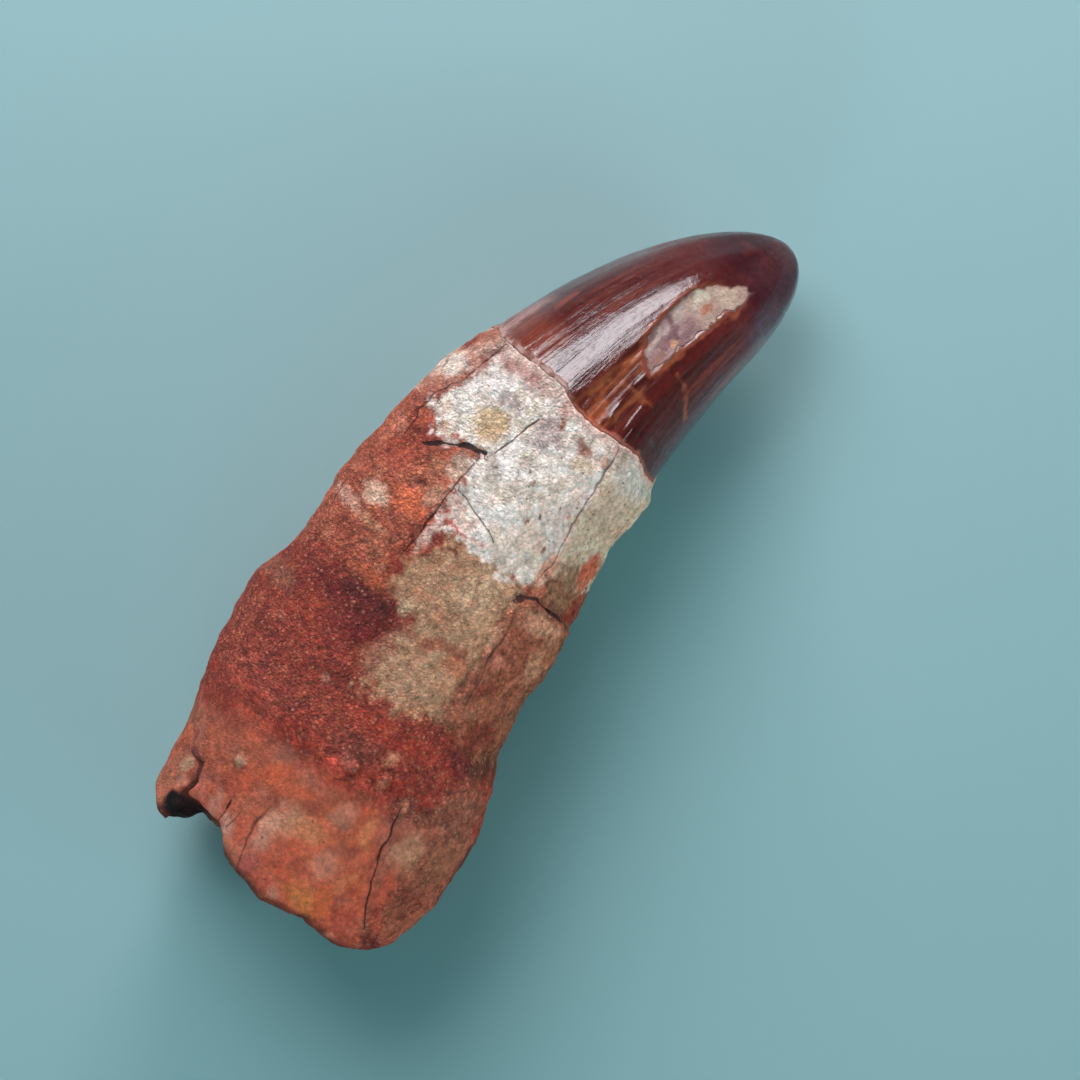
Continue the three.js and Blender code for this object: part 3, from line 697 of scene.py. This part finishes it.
def root_piece():
    t = np.linspace(0, 1, ROOT_ROWS)[:, None]
    s = Skin((ENAMEL_EDGE - EDGE_SLOPE) * (1 - t), angles())
    across, width, dark, groove = crack_fields(s, ROOT_CRACKS)
    coarse = coarseness(s)
    fine = fine_root_relief(s, coarse)
    roll = clamp01(1 - s.station / END_ROUNDING)
    inset = END_ROUNDING * (1 - np.sqrt(1 - roll * roll))
    body = s.raised(shared_relief(s, 1) + fine - groove - inset - SKIN_INSET)
    colour = root_colour(s, fine, s.raised(shared_relief(s, 1)))

    # the break face: rings that shrink towards its middle, with painted shadow in a cavity at one side
    reach = HALF_THICKNESS[0]
    middle = np.array([0, MIDDLE_Y[0], reach + UNDERSIDE_LIFT])
    scale = 1 - np.linspace(0, 1, BREAK_RINGS + 2)[1:-1, None] ** 0.9
    breaks = lerp(middle, body[-1], scale[..., None])
    level = (breaks[..., 2] - middle[2]) / reach
    rough = 0.3 * grain(breaks, 1.4, 41) + 0.12 * grain(breaks, 0.6, 43)
    depth = break_depth(breaks[..., 1], level, 1 - scale)
    breaks[..., 0] = drawn_in(depth + rough * smooth(1, 0.9, scale))
    mottles = (1, 0, 0.6, grain(breaks, 3, 45), 0x9E705C), (1, 0.1, 0.6, grain(breaks, 1.4, 47), 0x68362E)
    own = layer(0, np.ones(level.shape), 0x7E483C, *mottles)
    own = paint(own, 0.6 * smooth(0.97, 1, scale) * smooth(-0.2, 0.2, level), 0x3C201E)
    cave_y = breaks[..., 1]
    # painted shadow in the cavity of the break face: near-black colour and dark crack lines
    cave_shadow = smooth(7.2, 8.2, cave_y) * smooth(13.4, 12.4, cave_y) * smooth(-0.6, -0.2, level)
    middle[0] = breaks[-1, :, 0].mean()

    edge = edge_ring()
    rings = np.concatenate([edge[None], body, breaks])

    def full(values, at_edge, at_break):
        return np.concatenate([np.full((1, COLUMNS), at_edge), values, 0 * cave_shadow + at_break])

    colours = np.concatenate([colour[:1], colour, paint(own, cave_shadow, 0x221C20)])
    fields = {
        "stone_colour": colours,
        "sandy": full(coarse, 0.5, 0.6),
        "pale": smooth(0.12, 0.4, colours[..., 2]),
        "crack": np.stack([full(across, FAR, 0), full(width, 0, cave_shadow), full(dark, 0, cave_shadow)], -1),
    }
    socket = np.array([ENAMEL_EDGE - 3, edge[:, 1].mean(), edge[:, 2].mean()])
    return ring_mesh("tooth_root", rings, socket, middle, fields)


# Lower border of the outer enamel layer on the upper side, as x and y.
CREASE = [(69.5, 1.2), (74, 0), (79, -1.1), (84, -1.6), (88, -2.4), (91, -3.8), (95, -6.5), (98, -9)]
# Raised wrinkles that catch the light: points, half width, height.
WRINKLES = [
    ([(69.4, 0.5), (71.5, 0.2), (73.6, -0.3), (75.6, -1), (77.8, -1.8)], 0.16, 0.16),
    ([(70, -3.8), (71.4, -3.9), (73, -4)], 0.18, 0.14),
    ([(75.2, -4.1), (76.3, -4.1), (77.4, -4.4)], 0.16, 0.14),
    ([(70, -5), (73, -5.2), (76, -5.6), (79, -6.4)], 0.2, 0.07),
    ([(70.2, -6.1), (72, -6.2), (74.3, -6.2)], 0.2, 0.14),
    ([(78.5, -7.4), (82, -8.3), (86, -9)], 0.22, 0.07),
    ([(88.8, -9.1), (90, -9.1), (91.2, -9.2)], 0.18, 0.12),
]
# Spots on the bare dentine, in the same way.
DENTINE_SPOTS = [
    (80.6, -2.6, 1.7, 0.4, 0xC4B0A8), (82.4, -3.2, 0.8, 0.5, 0xC0ACAA), (83.8, -3.2, 0.6, 1.2, 0x7A5660),
    (82.7, -4.4, 0.7, 0.6, 0x76545A, 0.7), (85.6, -3.2, 1.2, 0.8, 0xBAA8A0),
    (85.2, -5.4, 1.3, 0.7, 0x8C6C6C, 0.7), (81.6, -5, 0.8, 0.35, 0xCC9C7E, 0.9),
    (79.4, -4.3, 1, 0.5, 0x9E6C5C, 0.6), (88.6, -3.9, 1.2, 0.7, 0xD4CCBA),
    (87.7, -5.4, 0.8, 0.7, 0xB2765E, 0.9), (90.6, -6.6, 1.2, 1.2, 0xCCB4A0, 0.6),
    (87.4, -6.6, 1, 0.4, 0xB09284, 0.6),
]
AMBER_LINES = [
    [(73.9, 0.6), (74.2, -1.8), (74.8, -4), (74.4, -7.4)],
    [(79.6, -7), (78.6, -9), (77.2, -10.2), (75.4, -11.4)],
    [(70, -4.4), (73, -4.6), (76.4, -5.2), (79, -5.6), (82, -6.4)],
]


def crown_colour(s, folds, surface):
    p = s.base
    arc = s.angle * CROWN_RADIUS
    x, y = s.x, s.y
    streak = noise(s.x / 14, arc / 1.1, 3) + 0.6 * noise(s.x / 8, arc / 0.45, 9)
    hair = noise(s.x / 6, arc / 0.25, 15)
    fade = smooth(95, 82, x) * lerp(1, 0.45, smooth(5, 8, y))
    wx = x + 0.8 * grain(p, 2.2, 51)
    wy = y + 0.35 * grain(p, 1.4, 53) + 0.2 * streak

    everywhere = np.ones(s.x.shape)
    c = paint(linear(0x541818), smooth(78.5, 73.5, wx) * smooth(4, 7, wy), 0x803828)
    c = paint(c, 0.6 * smooth(77.5, 79, wx) * smooth(84, 80, wx) * smooth(5, 8, wy), 0x4A0808)
    c = paint(c, smooth(84, 89, wx), 0x5A1E1E)
    c = paint(c, smooth(90, 96, wx - 0.3 * (wy + 4)), 0x421C24)
    c = paint(c, smooth(92, 96, wx) * smooth(-6, -8, wy), 0x502C32)
    c = paint(c, 0.8 * smooth(0, -1, wy - read_outline(CREASE, x)) * smooth(90, 80, wx), 0x4C1C18)
    c = paint(c, 0.8 * smooth(-8, -10.5, wy) * smooth(92, 84, wx), 0x402426)
    c = paint(c, 0.8 * smooth(-10, -11.5, wy), 0x422A32)
    # painted reflection: bluish grey along the lower edge towards the tip
    c = paint(c, 0.6 * smooth(-10.6, -12.2, wy) * smooth(86, 90, wx) * smooth(96, 92, wx), 0x4C4C58)
    c = paint(c, 0.6 * fade * smooth(0.3, 1, streak + 0.4 * hair), 0x7C382A)
    c = paint(c, 0.5 * fade * smooth(0.3, 1, -streak - 0.4 * hair), 0x3E1614)
    cloud = grain(p, 2.6, 87) + 0.5 * grain(p, 1.1, 89)
    c = paint(c, 0.5 * (1 - fade) * smooth(0.1, 0.7, cloud), 0x68302C)
    amber = folds * smooth(80.5, 77, wx) * smooth(-4.6, -3.2, wy)
    c = paint(c, 0.9 * amber, 0x62261A)
    c = paint(c, 0.8 * amber * smooth(0.1, 0.8, streak + 0.6 * cloud), 0xA45836)
    c = paint(c, 0.9 * amber * smooth(0.1, 0.6, -streak + 0.3 * hair), 0x421612)
    lower = folds * smooth(83, 79, wx) * smooth(-3.6, -4.8, wy) * smooth(-10.5, -9, wy)
    c = paint(c, 0.5 * lower * smooth(0.2, 0.8, streak), 0x682C22)
    c = paint(c, 0.5 * lower * smooth(0.2, 0.8, -streak), 0x381616)
    for line in AMBER_LINES:
        away, _, place = nearest_on_line(line, x + 0.4 * grain(p, 1.4, 63), y + 0.3 * grain(p, 1.1, 65))
        on_line = smooth(0.4, 0.1, away) * ((place > 0) & (place < 1)) * s.upper
        c = paint(c, 0.6 * on_line * smooth(-0.6, 0.2, grain(p, 1.6, 67)), 0x925434)
    c = paint(c, 0.7 * spot(wx, wy, 79, 8.7, 1.7, 0.3, -24, 0.35) * s.upper, 0x903C2A)
    # painted sheen: a pale pink strip along the crown's upper edge, near the enamel
    away, _, place = nearest_on_line([(72, 12.8), (75.5, 11.7), (79.5, 10.1)], x, y + 0.3 * grain(p, 1.4, 91))
    c = paint(c, 0.7 * smooth(0.8, 0.2, away) * smooth(1, 0.6, place) * s.upper, 0xBA8C88)

    # rough border of the enamel
    width = lerp(0.6, 1.2, smooth(1.5, 3, y)) + 0.4 * grain(p, 0.9, 93)
    by_edge = smooth(1, 0.3, (s.station - ENAMEL_EDGE) / width) * s.upper
    fleck = smooth(0, 0.3, grain(p, 0.5, 95))[..., None]
    border = lerp(linear(0xC8A8A0), linear(0x92665C), fleck)
    border = lerp(linear(0xA4705E), border, smooth(1, 3, y)[..., None])
    c = lerp(c, border, (lerp(0.6, 0.9, smooth(1, 3, y)) * by_edge)[..., None])

    # dentine where the enamel is gone, with its pale end towards the tip
    cx, cy = x + 0.45 * grain(p, 1.5, 55), y + 0.3 * grain(p, 1, 57)
    depth = depth_inside(CHIP, cx, cy) + 0.25 * grain(p, 0.6, 59)
    chip = smooth(-0.3, 0.3, depth) * s.upper
    d = layer(0, everywhere, 0xA28684, (0.7, -0.1, 0.4, grain(p, 1.4, 61), 0x8A686E))
    d = layer(d, smooth(85, 87.5, wx), 0xC0AA9C, (0.6, 0, 0.5, grain(p, 1.1, 69), 0xB08E82))
    for row in DENTINE_SPOTS:
        dab(d, wx, wy, 0.5 * grain(p, 0.7, 97), *row)
    c = lerp(c, d, chip[..., None])
    rim = smooth(0.6, 0.1, np.abs(depth + 0.5)) * s.upper * (1 - chip) * smooth(92, 88, x)
    c = paint(c, 0.8 * rim, 0x96503A)
    return as_lit(c, s, surface), np.maximum(chip, 0.9 * by_edge)


def crown_piece():
    t = np.linspace(0, 1, CROWN_ROWS)[:, None]
    spread = lerp(t, np.sin(t * math.pi / 2), 0.55)
    s = Skin(ENAMEL_EDGE + (LENGTH - TIP_GAP - ENAMEL_EDGE) * spread, angles())
    arc = s.angle * CROWN_RADIUS
    beyond = read_outline(CREASE, s.x) - s.y + 0.15 * s.grain(1.6, 71)
    crease = smooth(0, 0.7, beyond) * (1 - 0.5 * smooth(3, 9, beyond)) * smooth(93, 86, s.x) * s.upper
    folds = smooth(0, 0.8, beyond) * smooth(-10, -7, s.y) * s.upper
    folded = folds * smooth(88, 78, s.x)
    glint = 0
    wrinkle = folded * (0.05 * noise(s.x / 9, arc / 0.9, 2) + 0.05 * noise(s.x / 5, arc / 0.45, 4))
    fade = smooth(96, 86, s.x)
    wrinkle = wrinkle + 0.02 * fade * noise(s.x / 12, arc / 0.6, 6) + 0.03 * s.grain(1.8, 73)
    for line, half, rise in WRINKLES:
        away, _, place = nearest_on_line(line, s.x, s.y + 0.12 * s.grain(1.5, 75))
        within = tapered(place) * s.upper
        wrinkle = wrinkle + rise * within * np.exp(-((away / half) ** 2))
        glint = np.maximum(glint, within * smooth(3 * half, 1.5 * half, away))
    plain = shared_relief(s, 0)
    start = smooth(0, 0.6, s.station - ENAMEL_EDGE)
    body = s.raised(plain + start * (wrinkle * s.closing - 0.3 * crease) - SKIN_INSET)
    colour, chip = crown_colour(s, folds, s.raised(plain))
    fields = {
        "enamel_colour": colour[::-1],
        "bare": chip[::-1],
        "folded": (np.maximum(folded, smooth(87, 93, s.x)) * (1 - glint))[::-1],
        "flow": np.stack([s.x, arc, 0 * arc], -1)[::-1],
    }
    tip = body[-1].mean(0) + np.array([TIP_GAP, 0, 0])
    base = np.array([ENAMEL_EDGE - 1.5, body[0][:, 1].mean(), body[0][:, 2].mean()])
    return ring_mesh("tooth_crown", body[::-1], tip, base, fields)


# --- materials
def tone(rgb):
    return (*linear(rgb), 1)


class Graph:
    """Short calls for building one material's nodes."""

    def __init__(self, name):
        self.material = bpy.data.materials.new(name)
        self.material.use_nodes = True
        self.tree = self.material.node_tree
        self.tree.nodes.clear()

    def node(self, kind, inputs, **settings):
        """A shader node; an input is linked where its value is a socket, and set otherwise."""
        node = self.tree.nodes.new("ShaderNode" + kind)
        for key, value in settings.items():
            setattr(node, key, value)
        for key, value in inputs.items():
            if isinstance(value, bpy.types.NodeSocket):
                self.tree.links.new(value, node.inputs[key])
            else:
                node.inputs[key].default_value = value
        return node

    def math(self, operation, a, b=0):
        return self.node("Math", {0: a, 1: b}, operation=operation).outputs[0]

    def times(self, *values):
        return reduce(lambda a, b: self.math("MULTIPLY", a, b), values)

    def plus(self, *values):
        return reduce(lambda a, b: self.math("ADD", a, b), values)

    def minus(self, a, b):
        return self.math("SUBTRACT", a, b)

    def attribute(self, name, output="Fac"):
        return self.node("Attribute", {}, attribute_name=name).outputs[output]

    def blend(self, factor, a, b, mode="MIX"):
        return self.node("Mix", {0: factor, 6: a, 7: b}, data_type="RGBA", blend_type=mode).outputs[2]

    def shaded(self, colour, light):
        grey = self.node("CombineColor", {0: light, 1: light, 2: light}).outputs[0]
        return self.blend(1, colour, grey, "MULTIPLY")

    def ramp(self, value, low, high, to_low=0, to_high=1):
        inputs = {0: value, 1: low, 2: high, 3: to_low, 4: to_high}
        return self.node("MapRange", inputs, interpolation_type="SMOOTHSTEP").outputs[0]

    def noise(self, vector, scale, detail=2, roughness=0.5):
        inputs = {"Vector": vector, "Scale": scale, "Detail": detail, "Roughness": roughness}
        return self.node("TexNoise", inputs).outputs["Fac"]

    def cells(self, vector, scale):
        """Distance from the middle of the nearest cell, and two random values of that cell."""
        cell = self.node("TexVoronoi", {"Vector": vector, "Scale": scale})
        split = self.node("SeparateColor", {0: cell.outputs["Color"]})
        return cell.outputs["Distance"], split.outputs[0], split.outputs[1]

    def stretched(self, vector, scale):
        return self.node("VectorMath", {0: vector, 1: scale}, operation="MULTIPLY").outputs[0]

    def millimetres(self):
        return self.stretched(self.node("TexCoord", {}).outputs["Object"], (1 / MM,) * 3)

    def finish(self, inputs, height=None):
        """The shader, with a bump of `height` in millimetres on each of its layers."""
        if height is not None:
            bump = self.node("Bump", {"Strength": 1, "Distance": MM, "Height": height}).outputs[0]
            inputs["Normal"] = bump
            if "Coat Weight" in inputs:
                inputs["Coat Normal"] = bump
        shader = self.node("BsdfPrincipled", inputs)
        self.node("OutputMaterial", {"Surface": shader.outputs[0]})
        return self.material


def stone_material():
    g = Graph("fossil_stone")
    at = g.millimetres()
    pale = g.attribute("pale")
    colour = g.attribute("stone_colour", "Color")
    own = g.node("RGBToBW", {0: colour}).outputs[0]
    strength = g.times(g.ramp(g.attribute("sandy"), 0.2, 0.9, 0.35, 1), g.ramp(own, 0.012, 0.03))

    # wandering lighter and darker minerals, and thin dark veins between the lumps
    cloud = g.noise(at, 0.75, 6, 0.72)
    light_mineral = g.blend(pale, tone(0xCE7250), tone(0xECE8E0))
    dark_mineral = g.blend(pale, tone(0x682C22), tone(0x968470))
    share = g.times(g.ramp(cloud, 0.5, 0.66), 0.4, g.ramp(own, 0.01, 0.12))
    colour = g.blend(share, colour, light_mineral)
    share = g.times(g.ramp(cloud, 0.5, 0.34), g.ramp(pale, 0, 1, 0.5, 0.2), strength)
    colour = g.blend(share, colour, dark_mineral)
    vein = g.math("ABSOLUTE", g.minus(g.noise(at, 0.55, 5, 0.62), 0.5))
    share = g.times(g.ramp(vein, 0.03, 0), g.ramp(pale, 0, 1, 0.45, 0.08), strength)
    colour = g.blend(share, colour, dark_mineral)

    # sand grains, each with its own tone, and painted shade in the gaps between them
    away, pick, sparkle = g.cells(at, 1.9)
    fine_away, fine_pick, fine_sparkle = g.cells(at, 3.1)
    gap_shade = g.ramp(away, 0.3, 0.8, 0.08, -0.22)
    shade = g.plus(g.ramp(pick, 0, 1, -0.2, 0.2), g.ramp(fine_pick, 0, 1, -0.14, 0.14), gap_shade)
    colour = g.shaded(colour, g.plus(g.times(shade, strength), g.ramp(pale, 0, 0.5, 1.03, 1.09)))

    # pale grains that sparkle in the crust
    bright = g.blend(pale, tone(0xE49E7E), tone(0xF8F6F2))
    lit = g.times(g.ramp(fine_sparkle, 0.6, 1), g.ramp(fine_away, 0.6, 0.2), strength, 0.2)
    colour = g.blend(lit, colour, bright)
    lit = g.times(g.ramp(sparkle, 0.7, 1), g.ramp(away, 0.5, 0.25), strength, 0.3)
    colour = g.blend(lit, colour, bright)

    # a few dark specks
    speck_away, speck_pick, speck_size = g.cells(at, 1.6)
    inside = g.ramp(g.minus(speck_away, g.ramp(speck_size, 0, 1, 0.12, 0.26)), 0.06, -0.06)
    speck = g.times(g.math("GREATER_THAN", speck_pick, 0.86), inside, g.ramp(pale, 0, 1, 0.5, 0.6))
    colour = g.blend(speck, colour, tone(0x54322C))

    # cracks: the attribute holds the distance, the half width and the darkness
    crack = g.node("SeparateXYZ", {0: g.attribute("crack", "Vector")}).outputs
    ragged = g.times(g.minus(g.noise(at, 3.5, 3, 0.6), 0.5), 0.14)
    off = g.plus(g.minus(g.math("ABSOLUTE", crack[0]), crack[1]), ragged)
    open_here = g.times(g.math("GREATER_THAN", crack[1], 0.012), crack[2])
    colour = g.blend(g.times(g.ramp(off, 0.3, 0), open_here, 0.25), colour, tone(0x925446))
    line = g.times(g.ramp(off, 0.07, -0.03), open_here)
    colour = g.blend(g.times(line, 0.92), colour, tone(0x240E11))

    rounded = g.times(g.ramp(away, 0, 0.7, 1, 0), 0.16, g.ramp(pick, 0, 1, 0.3, 1))
    tiny = g.times(g.ramp(fine_away, 0, 0.7, 1, 0), 0.1)
    height = g.plus(g.times(g.plus(rounded, tiny), strength), g.times(g.noise(at, 1.6, 5, 0.68), 0.35))
    height = g.minus(g.minus(height, g.times(line, 0.15)), g.times(speck, 0.06))
    roughness = g.ramp(g.noise(at, 1.1, 3), 0.3, 0.7, 0.68, 0.9)
    return g.finish({"Base Color": colour, "Roughness": roughness, "Specular IOR Level": 0.2}, height)


def enamel_material():
    g = Graph("enamel")
    at = g.millimetres()
    flow = g.attribute("flow", "Vector")
    cover = g.ramp(g.attribute("bare"), 0.35, 0.65, 1, 0)
    uncovered = g.minus(1, cover)

    # streaks along the crown, fainter towards the tip
    fade = g.ramp(g.node("SeparateXYZ", {0: flow}).outputs[0], 84, 95, 1, 0.15)
    coarse = g.noise(g.stretched(flow, (0.12, 2, 1)), 1, 4, 0.65)
    fine = g.noise(g.stretched(flow, (0.25, 6.5, 1)), 1, 3, 0.6)
    coarse, fine = (g.plus(g.times(g.minus(streak, 0.5), fade), 0.5) for streak in (coarse, fine))
    shade = g.times(g.ramp(coarse, 0.3, 0.7, 0.88, 1.12), g.ramp(fine, 0.3, 0.7, 0.92, 1.08))
    colour = g.attribute("enamel_colour", "Color")
    colour = g.blend(cover, colour, g.shaded(colour, shade))
    colour = g.shaded(colour, g.ramp(g.noise(at, 1.6, 4, 0.6), 0.3, 0.7, 0.82, 1.15))

    # satin enamel under a clear gloss that scratches and folds dull; the dentine has none
    worn = g.ramp(g.noise(at, 0.9, 4, 0.6), 0.4, 0.7, 0, 0.12)
    satin = g.plus(g.ramp(g.plus(coarse, fine), 0.8, 1.25, 0.2, 0.34), worn)
    roughness = g.plus(g.times(satin, cover), g.times(uncovered, 0.75))
    scratches = g.noise(g.stretched(flow, (0.35, 4, 1)), 1, 4, 0.7)
    dulled = g.ramp(scratches, 0.32, 0.5, 0.55, 1)
    frosted = g.ramp(g.noise(at, 1.8, 6, 0.75), 0.34, 0.5, 0.6, 1)
    coat = g.times(dulled, frosted, g.ramp(g.attribute("folded"), 0, 1, 1, 0.4), cover)

    lumps = g.times(g.noise(at, 1.3, 3, 0.6), 0.05)
    grit = g.times(g.noise(at, 3, 3, 0.6), g.times(uncovered, 0.16))
    height = g.plus(g.times(coarse, 0.05), g.times(fine, 0.014), lumps, grit)
    gloss = {"Specular IOR Level": 0.12, "Coat Weight": coat, "Coat Roughness": 0.12}
    return g.finish({"Base Color": colour, "Roughness": roughness, **gloss}, height)


def floor_material():
    g = Graph("studio_floor")
    colour = g.blend(g.noise(g.millimetres(), 0.01), tone(0x8AAFB5), tone(0x8CB1B7))
    return g.finish({"Base Color": colour, "Roughness": 0.75, "Specular IOR Level": 0.3})


# --- scene
# name, the way to it, its distance and size in metres, power, colour, the shading that it lights
LIGHTS = [
    ("key", (0.5, 0.76, 1), 0.6, 0.36, 2.24, (0.96, 1, 1), "diffuse"),
    ("low", (0.86, 0.5, 0.24), 0.42, 0.18, 2.44, (1, 0.76, 0.74), "diffuse"),
    ("fill", (0.1, -1, 0.26), 0.6, 0.3, 1.72, (0.74, 1, 0.95), "diffuse"),
    ("back", (-1, -0.3, 0.3), 0.6, 0.3, 1.2, (0.78, 1, 0.96), "diffuse"),
    ("softbox", (0.42, 0.52, 1), 0.6, 0.5, 10, (0.9, 0.95, 1), "glossy"),
]
SKY_COLOUR = (0.2, 0.85, 1, 1)
SKY_STRENGTH = 0.14
SKY_MIRRORED = 0.8
FLOOR_SIZE = 4
TOOTH_MIDDLE = (0, 0, 0.01)
# The camera looks straight down. Millimetres, in the tooth's frame.
PHOTO_TURN = -54.2
VIEW_WIDTH = 128.04
CAMERA_DISTANCE = 700
VIEW_CENTRE = (54.03, -5.46)
OUTLINE_LEVEL = 14
SENSOR_WIDTH = 36


def place_on_frame(pieces):
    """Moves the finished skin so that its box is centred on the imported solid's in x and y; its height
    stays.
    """
    points = []
    for piece in pieces:
        flat = np.empty(len(piece.data.vertices) * 3)
        piece.data.vertices.foreach_get("co", flat)
        points.append(flat.reshape(-1, 3))
    every = np.concatenate(points)
    low, high = np.array(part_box("tooth"))
    shift = (low + high) / 2 - (every.min(0) + every.max(0)) / 2
    shift[2] = 0
    for piece, flat in zip(pieces, points):
        piece.data.vertices.foreach_set("co", (flat + shift).ravel())
        piece.data.update()
    return shift


def add_light(name, direction, distance, size, power, colour, shown_to):
    """An area light aimed at the tooth; `shown_to`, "diffuse" or "glossy", is the shading that it lights."""
    data = bpy.data.lights.new(name, "AREA")
    data.size = size
    data.energy = power
    data.color = colour
    light = new_object(name, data)
    away = Vector(direction).normalized() * distance
    light.location = Vector(TOOTH_MIDDLE) + away
    light.rotation_euler = (-away).to_track_quat("-Z", "Y").to_euler()
    light.visible_diffuse = shown_to == "diffuse"
    light.visible_glossy = shown_to == "glossy"


def build_world():
    """Even cool light from all round, fainter where it is only mirrored."""
    world = bpy.data.worlds.new("studio")
    world.use_nodes = True
    tree = world.node_tree
    path = tree.nodes.new("ShaderNodeLightPath")
    strength = tree.nodes.new("ShaderNodeMapRange")
    strength.inputs["To Min"].default_value = SKY_STRENGTH
    strength.inputs["To Max"].default_value = SKY_STRENGTH * SKY_MIRRORED
    tree.links.new(path.outputs["Is Glossy Ray"], strength.inputs["Value"])
    background = tree.nodes["Background"]
    background.inputs["Color"].default_value = SKY_COLOUR
    tree.links.new(strength.outputs["Result"], background.inputs["Strength"])
    bpy.context.scene.world = world


def build_stage():
    bpy.ops.mesh.primitive_plane_add(size=FLOOR_SIZE)
    floor = bpy.context.object
    floor.name = "studio_floor"
    floor.data.materials.append(floor_material())
    for row in LIGHTS:
        add_light(*row)
    build_world()


def build_camera(shift):
    data = bpy.data.cameras.new("camera")
    data.sensor_width = SENSOR_WIDTH
    data.lens = SENSOR_WIDTH * CAMERA_DISTANCE / VIEW_WIDTH
    data.clip_start = 0.01
    camera = new_object("camera", data)
    x, y = (v * MM + shift[i] for i, v in enumerate(VIEW_CENTRE))
    camera.location = (x, y, (CAMERA_DISTANCE + OUTLINE_LEVEL) * MM)
    camera.rotation_euler = (0, 0, math.radians(PHOTO_TURN))
    bpy.context.scene.camera = camera


def main():
    root = root_piece()
    crown = crown_piece()
    root.data.materials.append(stone_material())
    crown.data.materials.append(enamel_material())
    shift = place_on_frame([root, crown])
    for piece in (root, crown):
        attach(piece, "root")
        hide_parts("tooth")
    build_stage()
    build_camera(shift)
    view = bpy.context.scene.view_settings
    view.view_transform = "Standard"
    view.look = "None"


main()
